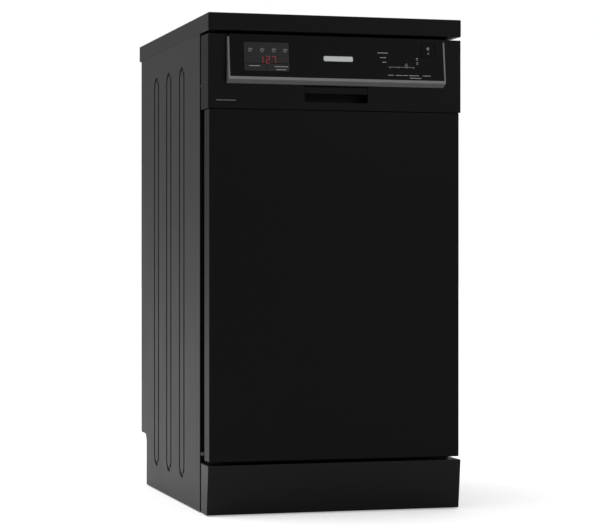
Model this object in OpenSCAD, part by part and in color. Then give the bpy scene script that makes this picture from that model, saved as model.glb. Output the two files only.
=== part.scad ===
// Free-standing slimline dishwasher with its own worktop.
// X runs to the right, Y to the rear and Z up, in millimetres.
// The origin is on the floor, under the middle of the machine.

/* [Cabinet] */
// Overall width
body_w = 450; // [375:1:600]
// Depth of the worktop
body_d = 600; // [500:1:720]
// Overall height, feet included
body_h = 850; // [708:1:1020]
// Thickness of the worktop
worktop_t = 30; // [25:1:36]
// Width of the plastic edging round the worktop
edging_w = 12; // [8:1:20]
// Thickness of the sheet steel
sheet_t = 1; // [0.8:0.1:1.2]
// Gap between the cabinet and the floor
floor_gap = 2; // [1:0.5:5]
// Worktop front to the front edge of the side panels
side_setback = 66; // [64:1:80]
// Worktop overhang behind the side panels
rear_overhang = 20; // [10:1:40]
// Width of the panels' inward flanges
flange_w = 8; // [6:0.5:8]

/* [Side ribs and hose notch] */
// Width of a pressed rib, over its outer edges
rib_w = 45; // [38:1:50]
// Width of the groove that runs around a rib's flush middle
rib_groove = 8; // [6:0.5:11]
// Spacing of the ribs
rib_pitch = 111.5; // [90:0.5:134]
// Depth of a rib's groove
rib_depth = 2.5; // [2:0.5:3.5]
// Distance from a rib's end to the panel's end
rib_margin = 44; // [36:1:60]
// Depth of the notch at the lower rear, where hoses pass
notch_d = 50; // [40:1:60]
// Height of the notch
notch_h = 97; // [90:1:116]
// Corner radius of the notch
notch_r = 15; // [8:1:20]

/* [Door] */
// Gap between the worktop and the control panel
top_gap = 5.5; // [4.5:0.5:8]
// Height of the control panel
control_h = 125.5; // [120:0.5:150]
// Depth of the control panel's sides
control_d = 54; // [50:1:54]
// Control panel face behind the worktop front
control_back = 3; // [2:0.5:6]
// Wall of the control panel moulding
control_wall = 2.5; // [2:0.5:3]
// Door panel edge inside the cabinet's width
door_reveal = 2.4; // [1:0.2:3]
// Door panel face behind the worktop front
door_back = 4.3; // [4:0.1:6]
// Depth of the door panel's folded sides
door_edge_d = 36.3; // [33:0.1:37]
// Gap between the door and the plinth
door_gap = 5; // [5:0.5:8]
// Door hinge line behind the worktop front
hinge_back = 20; // [18:0.5:22]
// Door hinge line above the door's lower edge
hinge_rise = 33.5; // [32:0.5:33.5]
// Radius of the hinge pin
hinge_pin_r = 4; // [3:0.5:5]

/* [Plinth and feet] */
// Top of the plinth above the floor
plinth_top = 86.5; // [80:0.5:86.5]
// How far the plinth's lower edge leans back
plinth_lean = 11; // [0:1:20]
// Depth of the plinth's sides
plinth_d = 55; // [40:1:56]
// Radius of a foot
foot_r = 18; // [14:1:22]
// Radius of a foot's threaded stem
foot_stem_r = 4; // [3:0.5:5]

/* [Fascia] */
// Trim frame to the side of the machine
trim_margin = 32; // [24:1:40]
// How far the fascia's lower edge stands in front of the worktop
lip = 12; // [10:0.5:14]
// How far the fascia's top edge stands in front of the worktop
lip_top = 2; // [0:0.5:4]
// Control panel's lower edge to the fascia's lower edge
fascia_rise = 53; // [48:0.5:56]
// Height of the silver band
band_h = 11; // [8:0.5:14]
// Width of the trim's uprights
trim_w = 3; // [2:0.5:5]
// Width of the display window
window_w = 79; // [60:1:95]
// Height of the display window with its two keys
window_h = 50; // [46:1:54]
// Height of the two keys under the display
key_h = 13; // [10:0.5:15]
// Width of the power key
power_w = 24; // [18:1:30]
// Travel of a key
key_travel = 1.2; // [0.8:0.1:1.5]
// Width of the handle slot
slot_w = 112; // [90:1:135]
// Height of the handle slot
slot_h = 28; // [27:0.5:28]
// Control panel's lower edge to the handle slot
slot_rise = 13; // [11:0.5:15]

/* [Tub] */
// Tub wall to the outside of the cabinet
tub_side_gap = 25; // [23:1:28]
// Top of the tub floor above the ground
tub_floor = 178; // [178:1:186]
// Tub ceiling below the worktop
tub_top_gap = 40; // [40:1:60]
// Tub back wall in front of the side panels' rear edge
tub_rear_gap = 24; // [20:1:40]
// Height of the wheel tracks in the tub
track_h = 9; // [8:0.5:12]
// Radius of the sump opening
sump_r = 71; // [66:1:76]

/* [Racks] */
// Thickness of the rack wire
wire = 4; // [3:0.5:4.5]
// Height of the racks
rack_h = 100; // [80:1:116]
// Base of the lower rack above the tub floor
lower_rise = 58; // [54:1:64]
// Base of the upper rack above the tub floor
upper_rise = 327; // [310:1:330]
// Radius of the lower rack's wheels
wheel_r = 14; // [12:0.5:16]
// Radius of the wheels in the upper rails
rail_wheel_r = 8; // [7:0.5:9]
// Length of the cutlery basket
basket_l = 240; // [160:1:260]
// Width of the cutlery basket
basket_w = 80; // [60:1:90]
// Height of the cutlery basket
basket_h = 135; // [110:1:150]
// Height of a plate tine
tine_h = 80; // [60:1:96]
// Reach of the folding cup shelf
shelf_w = 78; // [60:1:96]

/* [Hidden] */
$fn = 48;

// Clearances
run_gap = 0.05;     // radial gap of a shaft in its bore
fit_gap = 0.4;      // gap round a loose piece
through = 1;        // how far a cut runs past the faces it opens

// Cabinet
hw = body_w / 2;
front_y = lip - (body_d + lip) / 2;
under_z = body_h - worktop_t;
side_front = front_y + side_setback;
side_rear = front_y + body_d - rear_overhang;
side_mid = (side_front + side_rear) / 2;
notch_y = side_rear - notch_d;
notch_z = floor_gap + notch_h;
rib_l = under_z - floor_gap - 2 * rib_margin;
rib_z = (under_z + floor_gap) / 2;

// Base tray
tray_wall = 3;
tray_x = hw - 7;
tray_front = side_front + 4;
tray_rear = notch_y - 1;
tray_z = 14;
tray_top = 110;
boss_r = 9;
boss_top = 70;
foot_x = hw - 35;
foot_front_y = tray_front + 29;
foot_rear_y = tray_rear - 30;
port_z = 65;
valve_x = hw - 75;
drain_x = hw - 145;
gland_x = -(hw - 75);
valve_r = 13.2;
drain_r = 10;
gland_r = 9;
collar = 2;

// Tub
tub_x = hw - tub_side_gap;
tub_front = side_front;
tub_back = side_rear - tub_rear_gap;
tub_mid = (tub_front + tub_back) / 2;
tub_top = under_z - tub_top_gap;
lip_w = 12;
port_r = 12;
port_y = tub_mid + 33;
port_h = tub_floor + 242;
tank_t = tub_side_gap - sheet_t - rib_depth - 5;

// Sump, filter and arms
sump_wall = 3;
sump_z = 95;
pump_z = 114;
post_r = 9;
filter_r = 26;
filter_y = tub_mid - 38;
arm_z = tub_floor + 10.3;
arm_t = 13.9;
arm_l = min(tub_x, (tub_back - tub_front) / 2) - 30;
arm_w = 44;
post_top = arm_z + arm_t + 0.3;
pipe_r = 8;
pipe_y = tub_back - 12;
neck_r = 30;
salt_x = -(tub_x - 60);
salt_y = min(tub_mid + 113, foot_rear_y - boss_r - 62);
salt_bore = 21;

// Racks
rack_front = tub_front + 29;
rack_rear = tub_back - 30;
rack_l = rack_rear - rack_front;
lower_x = tub_x - 12;
upper_x = tub_x - 20;
lower_z = tub_floor + lower_rise;
upper_z = tub_floor + upper_rise;
track_w = 17;
axle_z = tub_floor + track_h + 0.3 + wheel_r;
axle_r = 3;
wheel_w = 8;
wheel_x = tub_x - 12;
lower_axles = [rack_front + 95, rack_rear - 82];
upper_axles = [rack_front + 49, rack_rear - 52];
rail_wheel_w = 5;
rail_x = tub_x - 1;
rail_w = 9;
rail_t = 1.5;
rail_h = 2 * (rail_wheel_r + rail_t) + 1;
rail_z = upper_z + 45;
pivot_r = 2;
fold_x = -80;
fixed_x = 20;
pivot_z = lower_z + 10;
shelf_x = -(upper_x - 10);
shelf_z = upper_z + 65;
basket_x = lower_x - basket_w - 12;
basket_y = rack_front + (rack_l - basket_l) / 2;
basket_z = lower_z + 1.5 * wire + 2;
manifold_z = upper_z - 18;
manifold_r = 7;
hub_r = 8;
upper_arm_z = upper_z - 37;
upper_arm_t = 11;

// Door
control_top = under_z - top_gap;
control_z = control_top - control_h;
control_y = front_y + control_back;
control_rear = control_y + control_d;
door_x = hw - door_reveal;
door_y = front_y + door_back;
door_rear = door_y + door_edge_d;
door_z = plinth_top + door_gap;
hinge_y = front_y + hinge_back;
hinge_z = door_z + hinge_rise;
liner_x = tub_x + lip_w;
liner_y = door_rear;
liner_rear = tub_front - 9;
liner_z = hinge_z + 25;
liner_top = tub_top + 15;
bulge_x = tub_x - 10;
bulge_y = tub_front + 14;
bulge_z = tub_floor + track_h + 3;
bulge_top = tub_top - 12;
bracket_x = hw - 11.8;
bracket_t = 3;
arm_plate_x = bracket_x + bracket_t + 1.2;

// Fascia
insert_x = hw - trim_margin;
band_top = control_z + fascia_rise;
band_z = band_top - band_h;
lip_y = front_y - lip;
lip_top_y = front_y - lip_top;
tilt = atan((lip - lip_top) / (control_top - band_top));
window_x = -insert_x + 27.6;
window_z = 10;
key_t = 3;
power_t = 1.8;
power_x = insert_x - 30.3;
power_z = 42;
power_h = 23;
key_w = (window_w - fit_gap) / 2;
slot_z = control_z + slot_rise;
pocket_depth = 36;
finger_h = 15;
lever_z = slot_z + slot_h + 10;
lever_y = control_y + 10;
lever_r = 2.5;
latch_z = tub_top + 20;
latch_y = control_rear - 25;
ear_t = 2.5;

// Detergent dispenser
dispenser_w = 140;
dispenser_h = 126;
dispenser_z = tub_floor + 262;
dispenser_depth = 32;
cup_w = 66;
cup_h = 58;
cup_depth = 24;
cup_x = -62;
cup_z = dispenser_z + 12;
lid_h = cup_h + 6;
rinse_x = 40;
rinse_z = dispenser_z + 45;
rinse_r = 10;

// Fastener places: [x, z] on the rear flanges and on the front flanges
screw_r = 2;
rear_screws = [for (s = [-1, 1], z = [notch_z + 60, rib_z, under_z - 60]) [s * (hw - 4.5), z]];
front_screws = [for (s = [-1, 1], z = [plinth_top + 15, under_z - 90]) [s * (hw - 4.5), z]];

// A box from its lowest to its highest corner
module span(low, high) {
    translate(low) cube(high - low);
}

// Round bars along each axis
module rod_x(r, x0, x1, y, z) {
    translate([x0, y, z]) rotate([0, 90, 0]) cylinder(h = x1 - x0, r = r);
}
module rod_y(r, y0, y1, x, z) {
    translate([x, y0, z]) rotate([-90, 0, 0]) cylinder(h = y1 - y0, r = r);
}
module rod_z(r, z0, z1, x, y) {
    translate([x, y, z0]) cylinder(h = z1 - z0, r = r);
}

// An outline of [y, z] points carried along X
module profile_x(x0, x1, points) {
    translate([x0, 0, 0]) rotate([90, 0, 90]) linear_extrude(x1 - x0) polygon(points);
}

// A piece and its mirror image
module both_sides() {
    children();
    mirror([1, 0, 0]) children();
}

// A slot outline w wide and l long, centred on [y, z]
function slot_points(w, l, y, z, steps = 12) = [
    for (side = [0, 1], i = [0 : steps])
        let (a = side * 180 + i * 180 / steps)
            [y + w / 2 * cos(a), z + (side == 0 ? 1 : -1) * (l - w) / 2 + w / 2 * sin(a)]
];

// The side panel's outline with its rounded hose notch
function panel_points(steps = 6) = concat(
    [[side_front, floor_gap], [notch_y, floor_gap]],
    [for (i = [0 : steps])
        let (a = 180 - i * 90 / steps)
            [notch_y + notch_r + notch_r * cos(a), notch_z - notch_r + notch_r * sin(a)]],
    [[side_rear, notch_z], [side_rear, under_z], [side_front, under_z]]
);

// ---- Cabinet ----

module side_panel() {
    rib_places = [for (i = [-1 : 1]) side_mid + i * rib_pitch];
    fold = rib_groove + sheet_t;
    color([0.075, 0.075, 0.08]) difference() {
        union() {
            profile_x(hw - sheet_t, hw, panel_points());
            span([hw - flange_w, side_front, floor_gap], [hw, side_front + sheet_t, under_z]);
            span([hw - flange_w, side_rear - sheet_t, notch_z], [hw, side_rear, under_z]);
            span([hw - flange_w, side_front, under_z - sheet_t], [hw, side_rear, under_z]);
            for (y = rib_places)
                profile_x(hw - rib_depth - sheet_t, hw - sheet_t / 2,
                    slot_points(rib_w + 2 * sheet_t, rib_l + 2 * sheet_t, y, rib_z));
        }
        for (y = rib_places) {
            difference() {
                profile_x(hw - rib_depth, hw + through, slot_points(rib_w, rib_l, y, rib_z));
                profile_x(hw - rib_depth - through, hw + 2 * through,
                    slot_points(rib_w - 2 * rib_groove, rib_l - 2 * rib_groove, y, rib_z));
            }
            profile_x(hw - rib_depth - sheet_t - through, hw - sheet_t,
                slot_points(rib_w - 2 * fold, rib_l - 2 * fold, y, rib_z));
        }
        for (p = rear_screws)
            rod_y(screw_r + 0.2, side_rear - 2 * sheet_t, side_rear + through, p[0], p[1]);
        for (p = front_screws)
            rod_y(screw_r + 0.2, side_front - through, side_front + 2 * sheet_t, p[0], p[1]);
    }
}

module side_panel_right() {
    side_panel();
}

module side_panel_left() {
    mirror([1, 0, 0]) side_panel();
}

module rear_panel() {
    x = hw - 1.5;
    y = side_rear - 2 * sheet_t;
    color([0.55, 0.56, 0.57]) difference() {
        union() {
            span([-x, y, notch_z + 1], [x, y + sheet_t, under_z - 1.5]);
            span([-x, notch_y, notch_z + 1], [x, y + sheet_t, notch_z + 1 + sheet_t]);
        }
        for (p = rear_screws)
            rod_y(screw_r + 0.2, y - through, side_rear, p[0], p[1]);
    }
}

module worktop_board() {
    color([0.07, 0.07, 0.075])
        span([-hw + edging_w, front_y + edging_w, under_z],
            [hw - edging_w, front_y + body_d - edging_w, body_h]);
}

module worktop_edging() {
    color([0.06, 0.06, 0.065]) difference() {
        span([-hw, front_y, under_z], [hw, front_y + body_d, body_h]);
        span([-hw + edging_w, front_y + edging_w, under_z - through],
            [hw - edging_w, front_y + body_d - edging_w, body_h + through]);
    }
}

// Top cross rail with the striker loop that the latch drops over
module front_frame() {
    rail_y = side_front + sheet_t;
    rail_low = tub_top + 15;
    loop_y = liner_rear + 1;
    color([0.6, 0.61, 0.62]) {
        difference() {
            span([-hw + flange_w, rail_y, rail_low], [hw - flange_w, rail_y + 20, under_z - sheet_t]);
            span([-hw, rail_y + 2, rail_low + 2], [hw, rail_y + 18, under_z]);
        }
        for (s = [-1, 1])
            translate([s * 11 - 2, loop_y, latch_z - 4]) cube([4, rail_y - loop_y + through, 4]);
        span([-13, loop_y - 2, latch_z - 4], [13, loop_y + 2, latch_z]);
    }
}

module base_tray() {
    color([0.2, 0.2, 0.21]) difference() {
        union() {
            difference() {
                span([-tray_x, tray_front, tray_z], [tray_x, tray_rear, tray_top]);
                span([-tray_x + tray_wall, tray_front + tray_wall, tray_z + tray_wall],
                    [tray_x - tray_wall, tray_rear - tray_wall, tray_top + through]);
            }
            for (s = [-1, 1], y = [foot_front_y, foot_rear_y])
                rod_z(boss_r, tray_z, boss_top, s * foot_x, y);
        }
        for (s = [-1, 1], y = [foot_front_y, foot_rear_y])
            rod_z(foot_stem_r + run_gap, tray_z - through, boss_top + through, s * foot_x, y);
        for (port = [[valve_x, valve_r + collar], [drain_x, drain_r + collar], [gland_x, gland_r]])
            rod_y(port[1] + fit_gap, tray_rear - 2 * tray_wall, tray_rear + through, port[0], port_z);
    }
}

module plinth() {
    front = front_y + 2;
    rear = front + plinth_d;
    wall = 2;
    outline = [
        [front + plinth_lean, floor_gap], [rear, floor_gap], [rear, plinth_top], [front, plinth_top]
    ];
    inside = [
        [front + plinth_lean + wall, floor_gap - through], [rear + through, floor_gap - through],
        [rear + through, plinth_top - wall], [front + wall, plinth_top - wall]
    ];
    color([0.09, 0.09, 0.095]) difference() {
        profile_x(-hw, hw, outline);
        profile_x(-hw + wall, hw - wall, inside);
    }
}

module foot(x, y) {
    color([0.12, 0.12, 0.12]) {
        rod_z(foot_r, 0, 8, x, y);
        rod_z(8, 7, 11, x, y);
        rod_z(foot_stem_r, 10, boss_top - 6, x, y);
    }
}

module foot_front_left() {
    foot(-foot_x, foot_front_y);
}

module foot_front_right() {
    foot(foot_x, foot_front_y);
}

module foot_rear_left() {
    foot(-foot_x, foot_rear_y);
}

module foot_rear_right() {
    foot(foot_x, foot_rear_y);
}

// Fixed hinge plates with the pins that carry the door and lugs for the springs
module hinge_brackets() {
    plate_rear = tub_front + 38;
    plate_top = tray_top + 240;
    color([0.62, 0.63, 0.65]) both_sides() {
        span([bracket_x, tray_front, tray_top], [bracket_x + bracket_t, plate_rear, plate_top]);
        span([bracket_x, hinge_y - 7, hinge_z - 7], [bracket_x + bracket_t, tray_front + 4, hinge_z + 7]);
        rod_x(hinge_pin_r, bracket_x + 1, arm_plate_x + bracket_t, hinge_y, hinge_z);
        span([tub_x + 2, tub_front + 18, plate_top - 12], [bracket_x + 1, tub_front + 28, plate_top - 8]);
    }
}

module door_springs() {
    z = tray_top + 228;
    color([0.5, 0.51, 0.53]) both_sides() difference() {
        rod_z(5, z - 170, z, tub_x + 6.5, tub_front + 23);
        rod_z(3.6, z - 170 - through, z + through, tub_x + 6.5, tub_front + 23);
    }
}

module cabinet_screws() {
    color([0.7, 0.71, 0.72]) {
        for (p = rear_screws) {
            rod_y(4, side_rear, side_rear + 2, p[0], p[1]);
            rod_y(screw_r, side_rear - 6, side_rear + 1, p[0], p[1]);
        }
        for (p = front_screws) {
            rod_y(3.5, side_front - 1.6, side_front, p[0], p[1]);
            rod_y(screw_r, side_front - 1, side_front + 5, p[0], p[1]);
        }
    }
}

// ---- Tub and water circuit ----

module tub() {
    shell_low = [-tub_x - sheet_t, tub_front - sheet_t, tub_floor - sheet_t];
    shell_high = [tub_x + sheet_t, tub_back + sheet_t, tub_top + sheet_t];
    color([0.72, 0.73, 0.74]) difference() {
        union() {
            difference() {
                union() {
                    span(shell_low, shell_high);
                    span([-liner_x, tub_front - sheet_t, tub_floor - 8], [liner_x, tub_front, tub_top + lip_w]);
                }
                span([-tub_x, tub_front - sheet_t - through, tub_floor], [tub_x, tub_back, tub_top]);
            }
            for (x = [-tub_x, tub_x - track_w])
                span([x, tub_front - sheet_t, tub_floor], [x + track_w, tub_back, tub_floor + track_h]);
        }
        rod_z(sump_r, tub_floor - 2, tub_floor + 2, 0, tub_mid);
        rod_z(neck_r + 1, tub_floor - 2, tub_floor + 2, salt_x, salt_y);
        rod_z(pipe_r + 0.5, tub_floor - 2, tub_floor + 2, 0, pipe_y);
        rod_x(port_r + 0.4, -tub_x - 2, -tub_x + through, port_y, port_h);
    }
}

module tub_gasket() {
    low_y = liner_rear + 0.5;
    high_y = tub_front - sheet_t;
    color([0.1, 0.1, 0.1]) difference() {
        span([-tub_x - 11, low_y, tub_floor - 6], [tub_x + 11, high_y, tub_top + 11]);
        span([-tub_x - 3, low_y - through, tub_floor + 3], [tub_x + 3, high_y + through, tub_top + 3]);
    }
}

module sump() {
    inner = sump_r - 1 - sump_wall;
    color([0.35, 0.36, 0.38]) {
        difference() {
            union() {
                rod_z(sump_r - 1, sump_z, tub_floor, 0, tub_mid);
                rod_z(sump_r + 10, tub_floor, tub_floor + 2.5, 0, tub_mid);
                span([0, tub_mid - 14, pump_z - 14], [sump_r + 3, tub_mid + 14, pump_z + 14]);
                span([-sump_r - 9, tub_mid - 12, pump_z - 12], [0, tub_mid + 12, pump_z + 12]);
                span([-10, tub_mid, 150], [10, tub_mid + sump_r + 19, 170]);
            }
            rod_z(inner, sump_z + sump_wall, tub_floor + 3, 0, tub_mid);
            rod_x(9, 0, sump_r + 5, tub_mid, pump_z);
            rod_x(8, -sump_r - 11, 0, tub_mid, pump_z);
            rod_y(6, tub_mid, tub_mid + sump_r + 21, 0, 160);
        }
        difference() {
            rod_z(inner + 1, tub_floor - 7, tub_floor - 3.5, 0, tub_mid);
            rod_z(inner - 2.5, tub_floor - 8, tub_floor, 0, tub_mid);
        }
        difference() {
            rod_z(filter_r - 1, sump_z + 1, 111.5, 0, filter_y);
            rod_z(filter_r - 5, sump_z + sump_wall, 113, 0, filter_y);
        }
        rod_z(post_r, sump_z + 1, post_top + 1, 0, tub_mid);
        rod_z(post_r + 3, sump_z + 1, arm_z - 0.3, 0, tub_mid);
        rod_z(post_r + 3, post_top, post_top + 4, 0, tub_mid);
    }
}

module filter_plate() {
    color([0.75, 0.76, 0.77]) difference() {
        rod_z(sump_r - 4.5, tub_floor - 3.5, tub_floor - 0.5, 0, tub_mid);
        rod_z(post_r + 4, tub_floor - 5, tub_floor + 1, 0, tub_mid);
        rod_z(filter_r + 0.5, tub_floor - 5, tub_floor + 1, 0, filter_y);
    }
}

module filter_cylinder() {
    top = tub_floor + 3;
    color([0.3, 0.42, 0.6]) {
        difference() {
            rod_z(filter_r, 112, top, 0, filter_y);
            rod_z(filter_r - 2, 114, top + through, 0, filter_y);
        }
        span([-filter_r + 1, filter_y - 2.5, top - 12], [filter_r - 1, filter_y + 2.5, top + 3]);
    }
}

module circulation_pump() {
    start = sump_r + 3;
    color([0.4, 0.41, 0.43]) {
        difference() {
            rod_x(42, start, start + 28, tub_mid, pump_z);
            rod_x(38, start + 3, start + 25, tub_mid, pump_z);
            rod_x(9, start - 1, start + 4, tub_mid, pump_z);
            rod_x(4 + run_gap, start + 24, start + 40, tub_mid, pump_z);
        }
        difference() {
            rod_x(38, start + 27, start + 100, tub_mid, pump_z);
            rod_x(4 + run_gap, start + 20, start + 40, tub_mid, pump_z);
        }
    }
}

module pump_impeller() {
    start = sump_r + 3;
    color([0.7, 0.7, 0.7]) {
        rod_x(30, start + 12, start + 16, tub_mid, pump_z);
        rod_x(4, start + 8, start + 39, tub_mid, pump_z);
        for (a = [0 : 60 : 300])
            translate([start + 7, tub_mid, pump_z]) rotate([a, 0, 0])
                translate([0, -1, 6]) cube([6, 2, 22]);
    }
}

module drain_pump() {
    start = -sump_r - 9;
    color([0.4, 0.41, 0.43]) {
        difference() {
            rod_x(25, start - 22, start, tub_mid, pump_z);
            rod_x(22, start - 19, start - 3, tub_mid, pump_z);
            rod_x(8, start - 4, start + 1, tub_mid, pump_z);
            rod_x(2.5 + run_gap, start - 30, start - 18, tub_mid, pump_z);
        }
        difference() {
            rod_x(20, start - 70, start - 21, tub_mid, pump_z);
            rod_x(2.5 + run_gap, start - 32, start - 18, tub_mid, pump_z);
        }
    }
}

module drain_impeller() {
    start = -sump_r - 9;
    color([0.7, 0.7, 0.7]) {
        rod_x(2.5, start - 31, start - 6, tub_mid, pump_z);
        for (a = [0 : 90 : 270])
            translate([start - 14, tub_mid, pump_z]) rotate([a, 0, 0])
                translate([0, -1, 1]) cube([7, 2, 17]);
    }
}

module softener_tank() {
    low = [salt_x - 58, salt_y - 66, tray_z + tray_wall + 2];
    high = [salt_x + 50, salt_y + 60, tub_floor - 14];
    color([0.85, 0.85, 0.83]) difference() {
        union() {
            span(low, high);
            rod_z(neck_r, high[2] - 1, tub_floor + 0.5, salt_x, salt_y);
        }
        span(low + [3, 3, 3], high - [3, 3, 3]);
        rod_z(salt_bore + run_gap, high[2] - 5, tub_floor + 1, salt_x, salt_y);
    }
}

module salt_cap() {
    color([0.85, 0.86, 0.88]) {
        rod_z(neck_r + 2, tub_floor + 0.8, tub_floor + 5, salt_x, salt_y);
        rod_z(salt_bore, tub_floor - 12, tub_floor + 1, salt_x, salt_y);
        span([salt_x - 22, salt_y - 3, tub_floor + 4], [salt_x + 22, salt_y + 3, tub_floor + 8.5]);
    }
}

module inlet_valve() {
    color([0.82, 0.82, 0.8]) difference() {
        union() {
            span([valve_x - 20, tray_rear - 55, port_z - 24], [valve_x + 20, tray_rear - 3, port_z + 24]);
            rod_y(valve_r + collar, tray_rear - 5, tray_rear + 1, valve_x, port_z);
            rod_y(valve_r, tray_rear, tray_rear + 21, valve_x, port_z);
        }
        rod_y(8, tray_rear - 30, tray_rear + 22, valve_x, port_z);
    }
}

module drain_spigot() {
    color([0.3, 0.3, 0.31]) difference() {
        union() {
            rod_y(drain_r, tray_rear - 30, tray_rear + 26, drain_x, port_z);
            rod_y(drain_r + 6, tray_rear - 7, tray_rear - 3, drain_x, port_z);
            rod_y(drain_r + collar, tray_rear - 4, tray_rear + 1, drain_x, port_z);
        }
        rod_y(7.5, tray_rear - 31, tray_rear + 27, drain_x, port_z);
    }
}

module mains_gland() {
    color([0.1, 0.1, 0.1]) difference() {
        union() {
            rod_y(gland_r, tray_rear - 14, tray_rear + 1, gland_x, port_z);
            rod_y(12.5, tray_rear, tray_rear + 10, gland_x, port_z);
        }
        rod_y(4.5, tray_rear - 15, tray_rear + 11, gland_x, port_z);
    }
}

module air_break_tank() {
    outer = tub_x + sheet_t + 2;
    color([0.88, 0.88, 0.86]) {
        difference() {
            span([-outer - tank_t, port_y - 110, port_h - 150], [-outer, port_y + 110, port_h + 150]);
            span([-outer - tank_t + 1.5, port_y - 108, port_h - 148],
                [-outer - 1.5, port_y + 108, port_h + 148]);
        }
        difference() {
            rod_x(port_r, -outer - 1, -tub_x + 4, port_y, port_h);
            rod_x(port_r - 2, -outer - 2, -tub_x + 5, port_y, port_h);
        }
    }
}

module feed_pipe() {
    start = tub_mid + sump_r + 19;
    color([0.8, 0.81, 0.82]) difference() {
        union() {
            rod_y(pipe_r - 1, start, pipe_y, 0, 160);
            rod_z(pipe_r, 150, manifold_z + 10, 0, pipe_y);
            rod_y(manifold_r - 0.5, tub_back - 24, pipe_y, 0, manifold_z);
        }
        rod_y(pipe_r - 3, start - 1, pipe_y, 0, 160);
        rod_z(pipe_r - 2, 154, manifold_z + 6, 0, pipe_y);
        rod_y(manifold_r - 2.5, tub_back - 25, pipe_y, 0, manifold_z);
    }
}

// A spray arm: two blades round a bored hub, jets along the blades
module spray_arm(z, t, bore, l) {
    color([0.78, 0.79, 0.8]) difference() {
        union() {
            rod_z(bore + 9, z, z + t, 0, tub_mid);
            for (s = [-1, 1])
                translate([0, tub_mid, z + 1.5]) linear_extrude(t - 3)
                    polygon([[0, -s * 13], [s * (l - 8), -s * arm_w * 0.3], [s * l, -s * arm_w * 0.16],
                        [s * l, s * arm_w * 0.2], [s * (l - 8), s * arm_w * 0.34], [0, s * arm_w / 2.4]]);
        }
        rod_z(bore + run_gap, z - 1, z + t + 1, 0, tub_mid);
        for (s = [-1, 1], k = [0.45, 0.68, 0.9])
            rod_z(1.8, z + t - 4, z + t, s * l * k, tub_mid + s * 2);
    }
}

module lower_spray_arm() {
    spray_arm(arm_z, arm_t, post_r, arm_l);
}

module upper_spray_arm() {
    spray_arm(upper_arm_z, upper_arm_t, hub_r, arm_l);
}

// Pipe under the upper rack that feeds the upper arm
module spray_manifold() {
    nut_z = upper_arm_z - 0.3;
    color([0.8, 0.81, 0.82]) {
        difference() {
            rod_y(manifold_r, tub_mid - 12, rack_rear + 4.5, 0, manifold_z);
            rod_y(manifold_r - 2, tub_mid, rack_rear + 5.5, 0, manifold_z);
        }
        rod_z(hub_r, nut_z - 1, manifold_z, 0, tub_mid);
        rod_z(hub_r + 3, nut_z - 5, nut_z, 0, tub_mid);
        rod_z(hub_r + 3, upper_arm_z + upper_arm_t + 0.3, manifold_z, 0, tub_mid);
        for (y = [tub_mid - 4, tub_mid + 160])
            span([-4, y, manifold_z], [4, y + 12, upper_z - wire / 2]);
    }
}

// ---- Racks ----

// Square wires along each axis, centred on the other two
module wire_x(x0, x1, y, z) {
    span([x0, y - wire / 2, z - wire / 2], [x1, y + wire / 2, z + wire / 2]);
}
module wire_y(y0, y1, x, z) {
    span([x - wire / 2, y0, z - wire / 2], [x + wire / 2, y1, z + wire / 2]);
}
module wire_z(z0, z1, x, y) {
    span([x - wire / 2, y - wire / 2, z0], [x + wire / 2, y + wire / 2, z1]);
}

// A closed wire loop at height z
module wire_loop(x, z) {
    for (s = [-1, 1])
        wire_y(rack_front, rack_rear, s * (x - wire / 2), z);
    for (y = [rack_front + wire / 2, rack_rear - wire / 2])
        wire_x(-x, x, y, z);
}

// An open wire basket: x is its half width and z its base
module wire_rack(x, z, long_wires, cross_wires) {
    inset = wire;
    top = z + rack_h;
    x_step = 2 * (x - inset) / (long_wires - 1);
    y_step = (rack_l - 2 * inset) / (cross_wires - 1);
    for (i = [0 : long_wires - 1]) {
        wire_y(rack_front + inset / 2, rack_rear - inset / 2, -x + inset + i * x_step, z);
        for (y = [rack_front + inset, rack_rear - inset])
            wire_z(z - wire / 2, top + wire / 4, -x + inset + i * x_step, y);
    }
    for (j = [0 : cross_wires - 1]) {
        wire_x(-x + inset / 2, x - inset / 2, rack_front + inset + j * y_step, z + wire / 2);
        for (s = [-1, 1])
            wire_z(z, top + wire / 4, s * (x - inset), rack_front + inset + j * y_step);
    }
    wire_loop(x, top);
    wire_loop(x, z + rack_h * 0.45);
}

// A clip that holds a pivot rod running along Y
module pivot_clip(x, y, z, low) {
    difference() {
        span([x - 4.5, y - 4, low], [x + 4.5, y + 4, z + 4.5]);
        rod_y(pivot_r + run_gap, y - 5, y + 5, x, z);
    }
}

function tine_places() = [for (i = [0 : 8]) rack_front + 40 + i * (rack_l - 80) / 8];
function clip_places() = [for (i = [0, 7]) rack_front + 40 + (i + 0.5) * (rack_l - 80) / 8];

module lower_rack() {
    color([0.62, 0.64, 0.67]) {
        difference() {
            wire_rack(lower_x, lower_z, 9, 9);
            for (y = clip_places())
                rod_y(pivot_r + run_gap, y - 6, y + 6, fold_x, pivot_z);
        }
        for (y = tine_places())
            wire_z(lower_z, lower_z + tine_h, fixed_x, y);
        wire_y(rack_front + wire / 2, rack_rear - wire / 2, fixed_x, lower_z + wire * 1.25);
        for (y = clip_places())
            pivot_clip(fold_x, y, pivot_z, lower_z);
        for (s = [-1, 1], y = lower_axles) {
            span([s > 0 ? lower_x - 10 : -lower_x + 5, y - 9, axle_z - 5],
                [s > 0 ? lower_x - 5 : -lower_x + 10, y + 9, lower_z + rack_h * 0.45]);
            rod_x(axle_r, s > 0 ? lower_x - 8 : -wheel_x - wheel_w / 2 - 1,
                s > 0 ? wheel_x + wheel_w / 2 + 1 : -lower_x + 8, y, axle_z);
        }
    }
}

module wheel_pair(r, w, bore, x, y, z) {
    color([0.55, 0.57, 0.6]) both_sides() difference() {
        rod_x(r, x - w / 2, x + w / 2, y, z);
        rod_x(bore + run_gap, x - w, x + w, y, z);
    }
}

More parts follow.
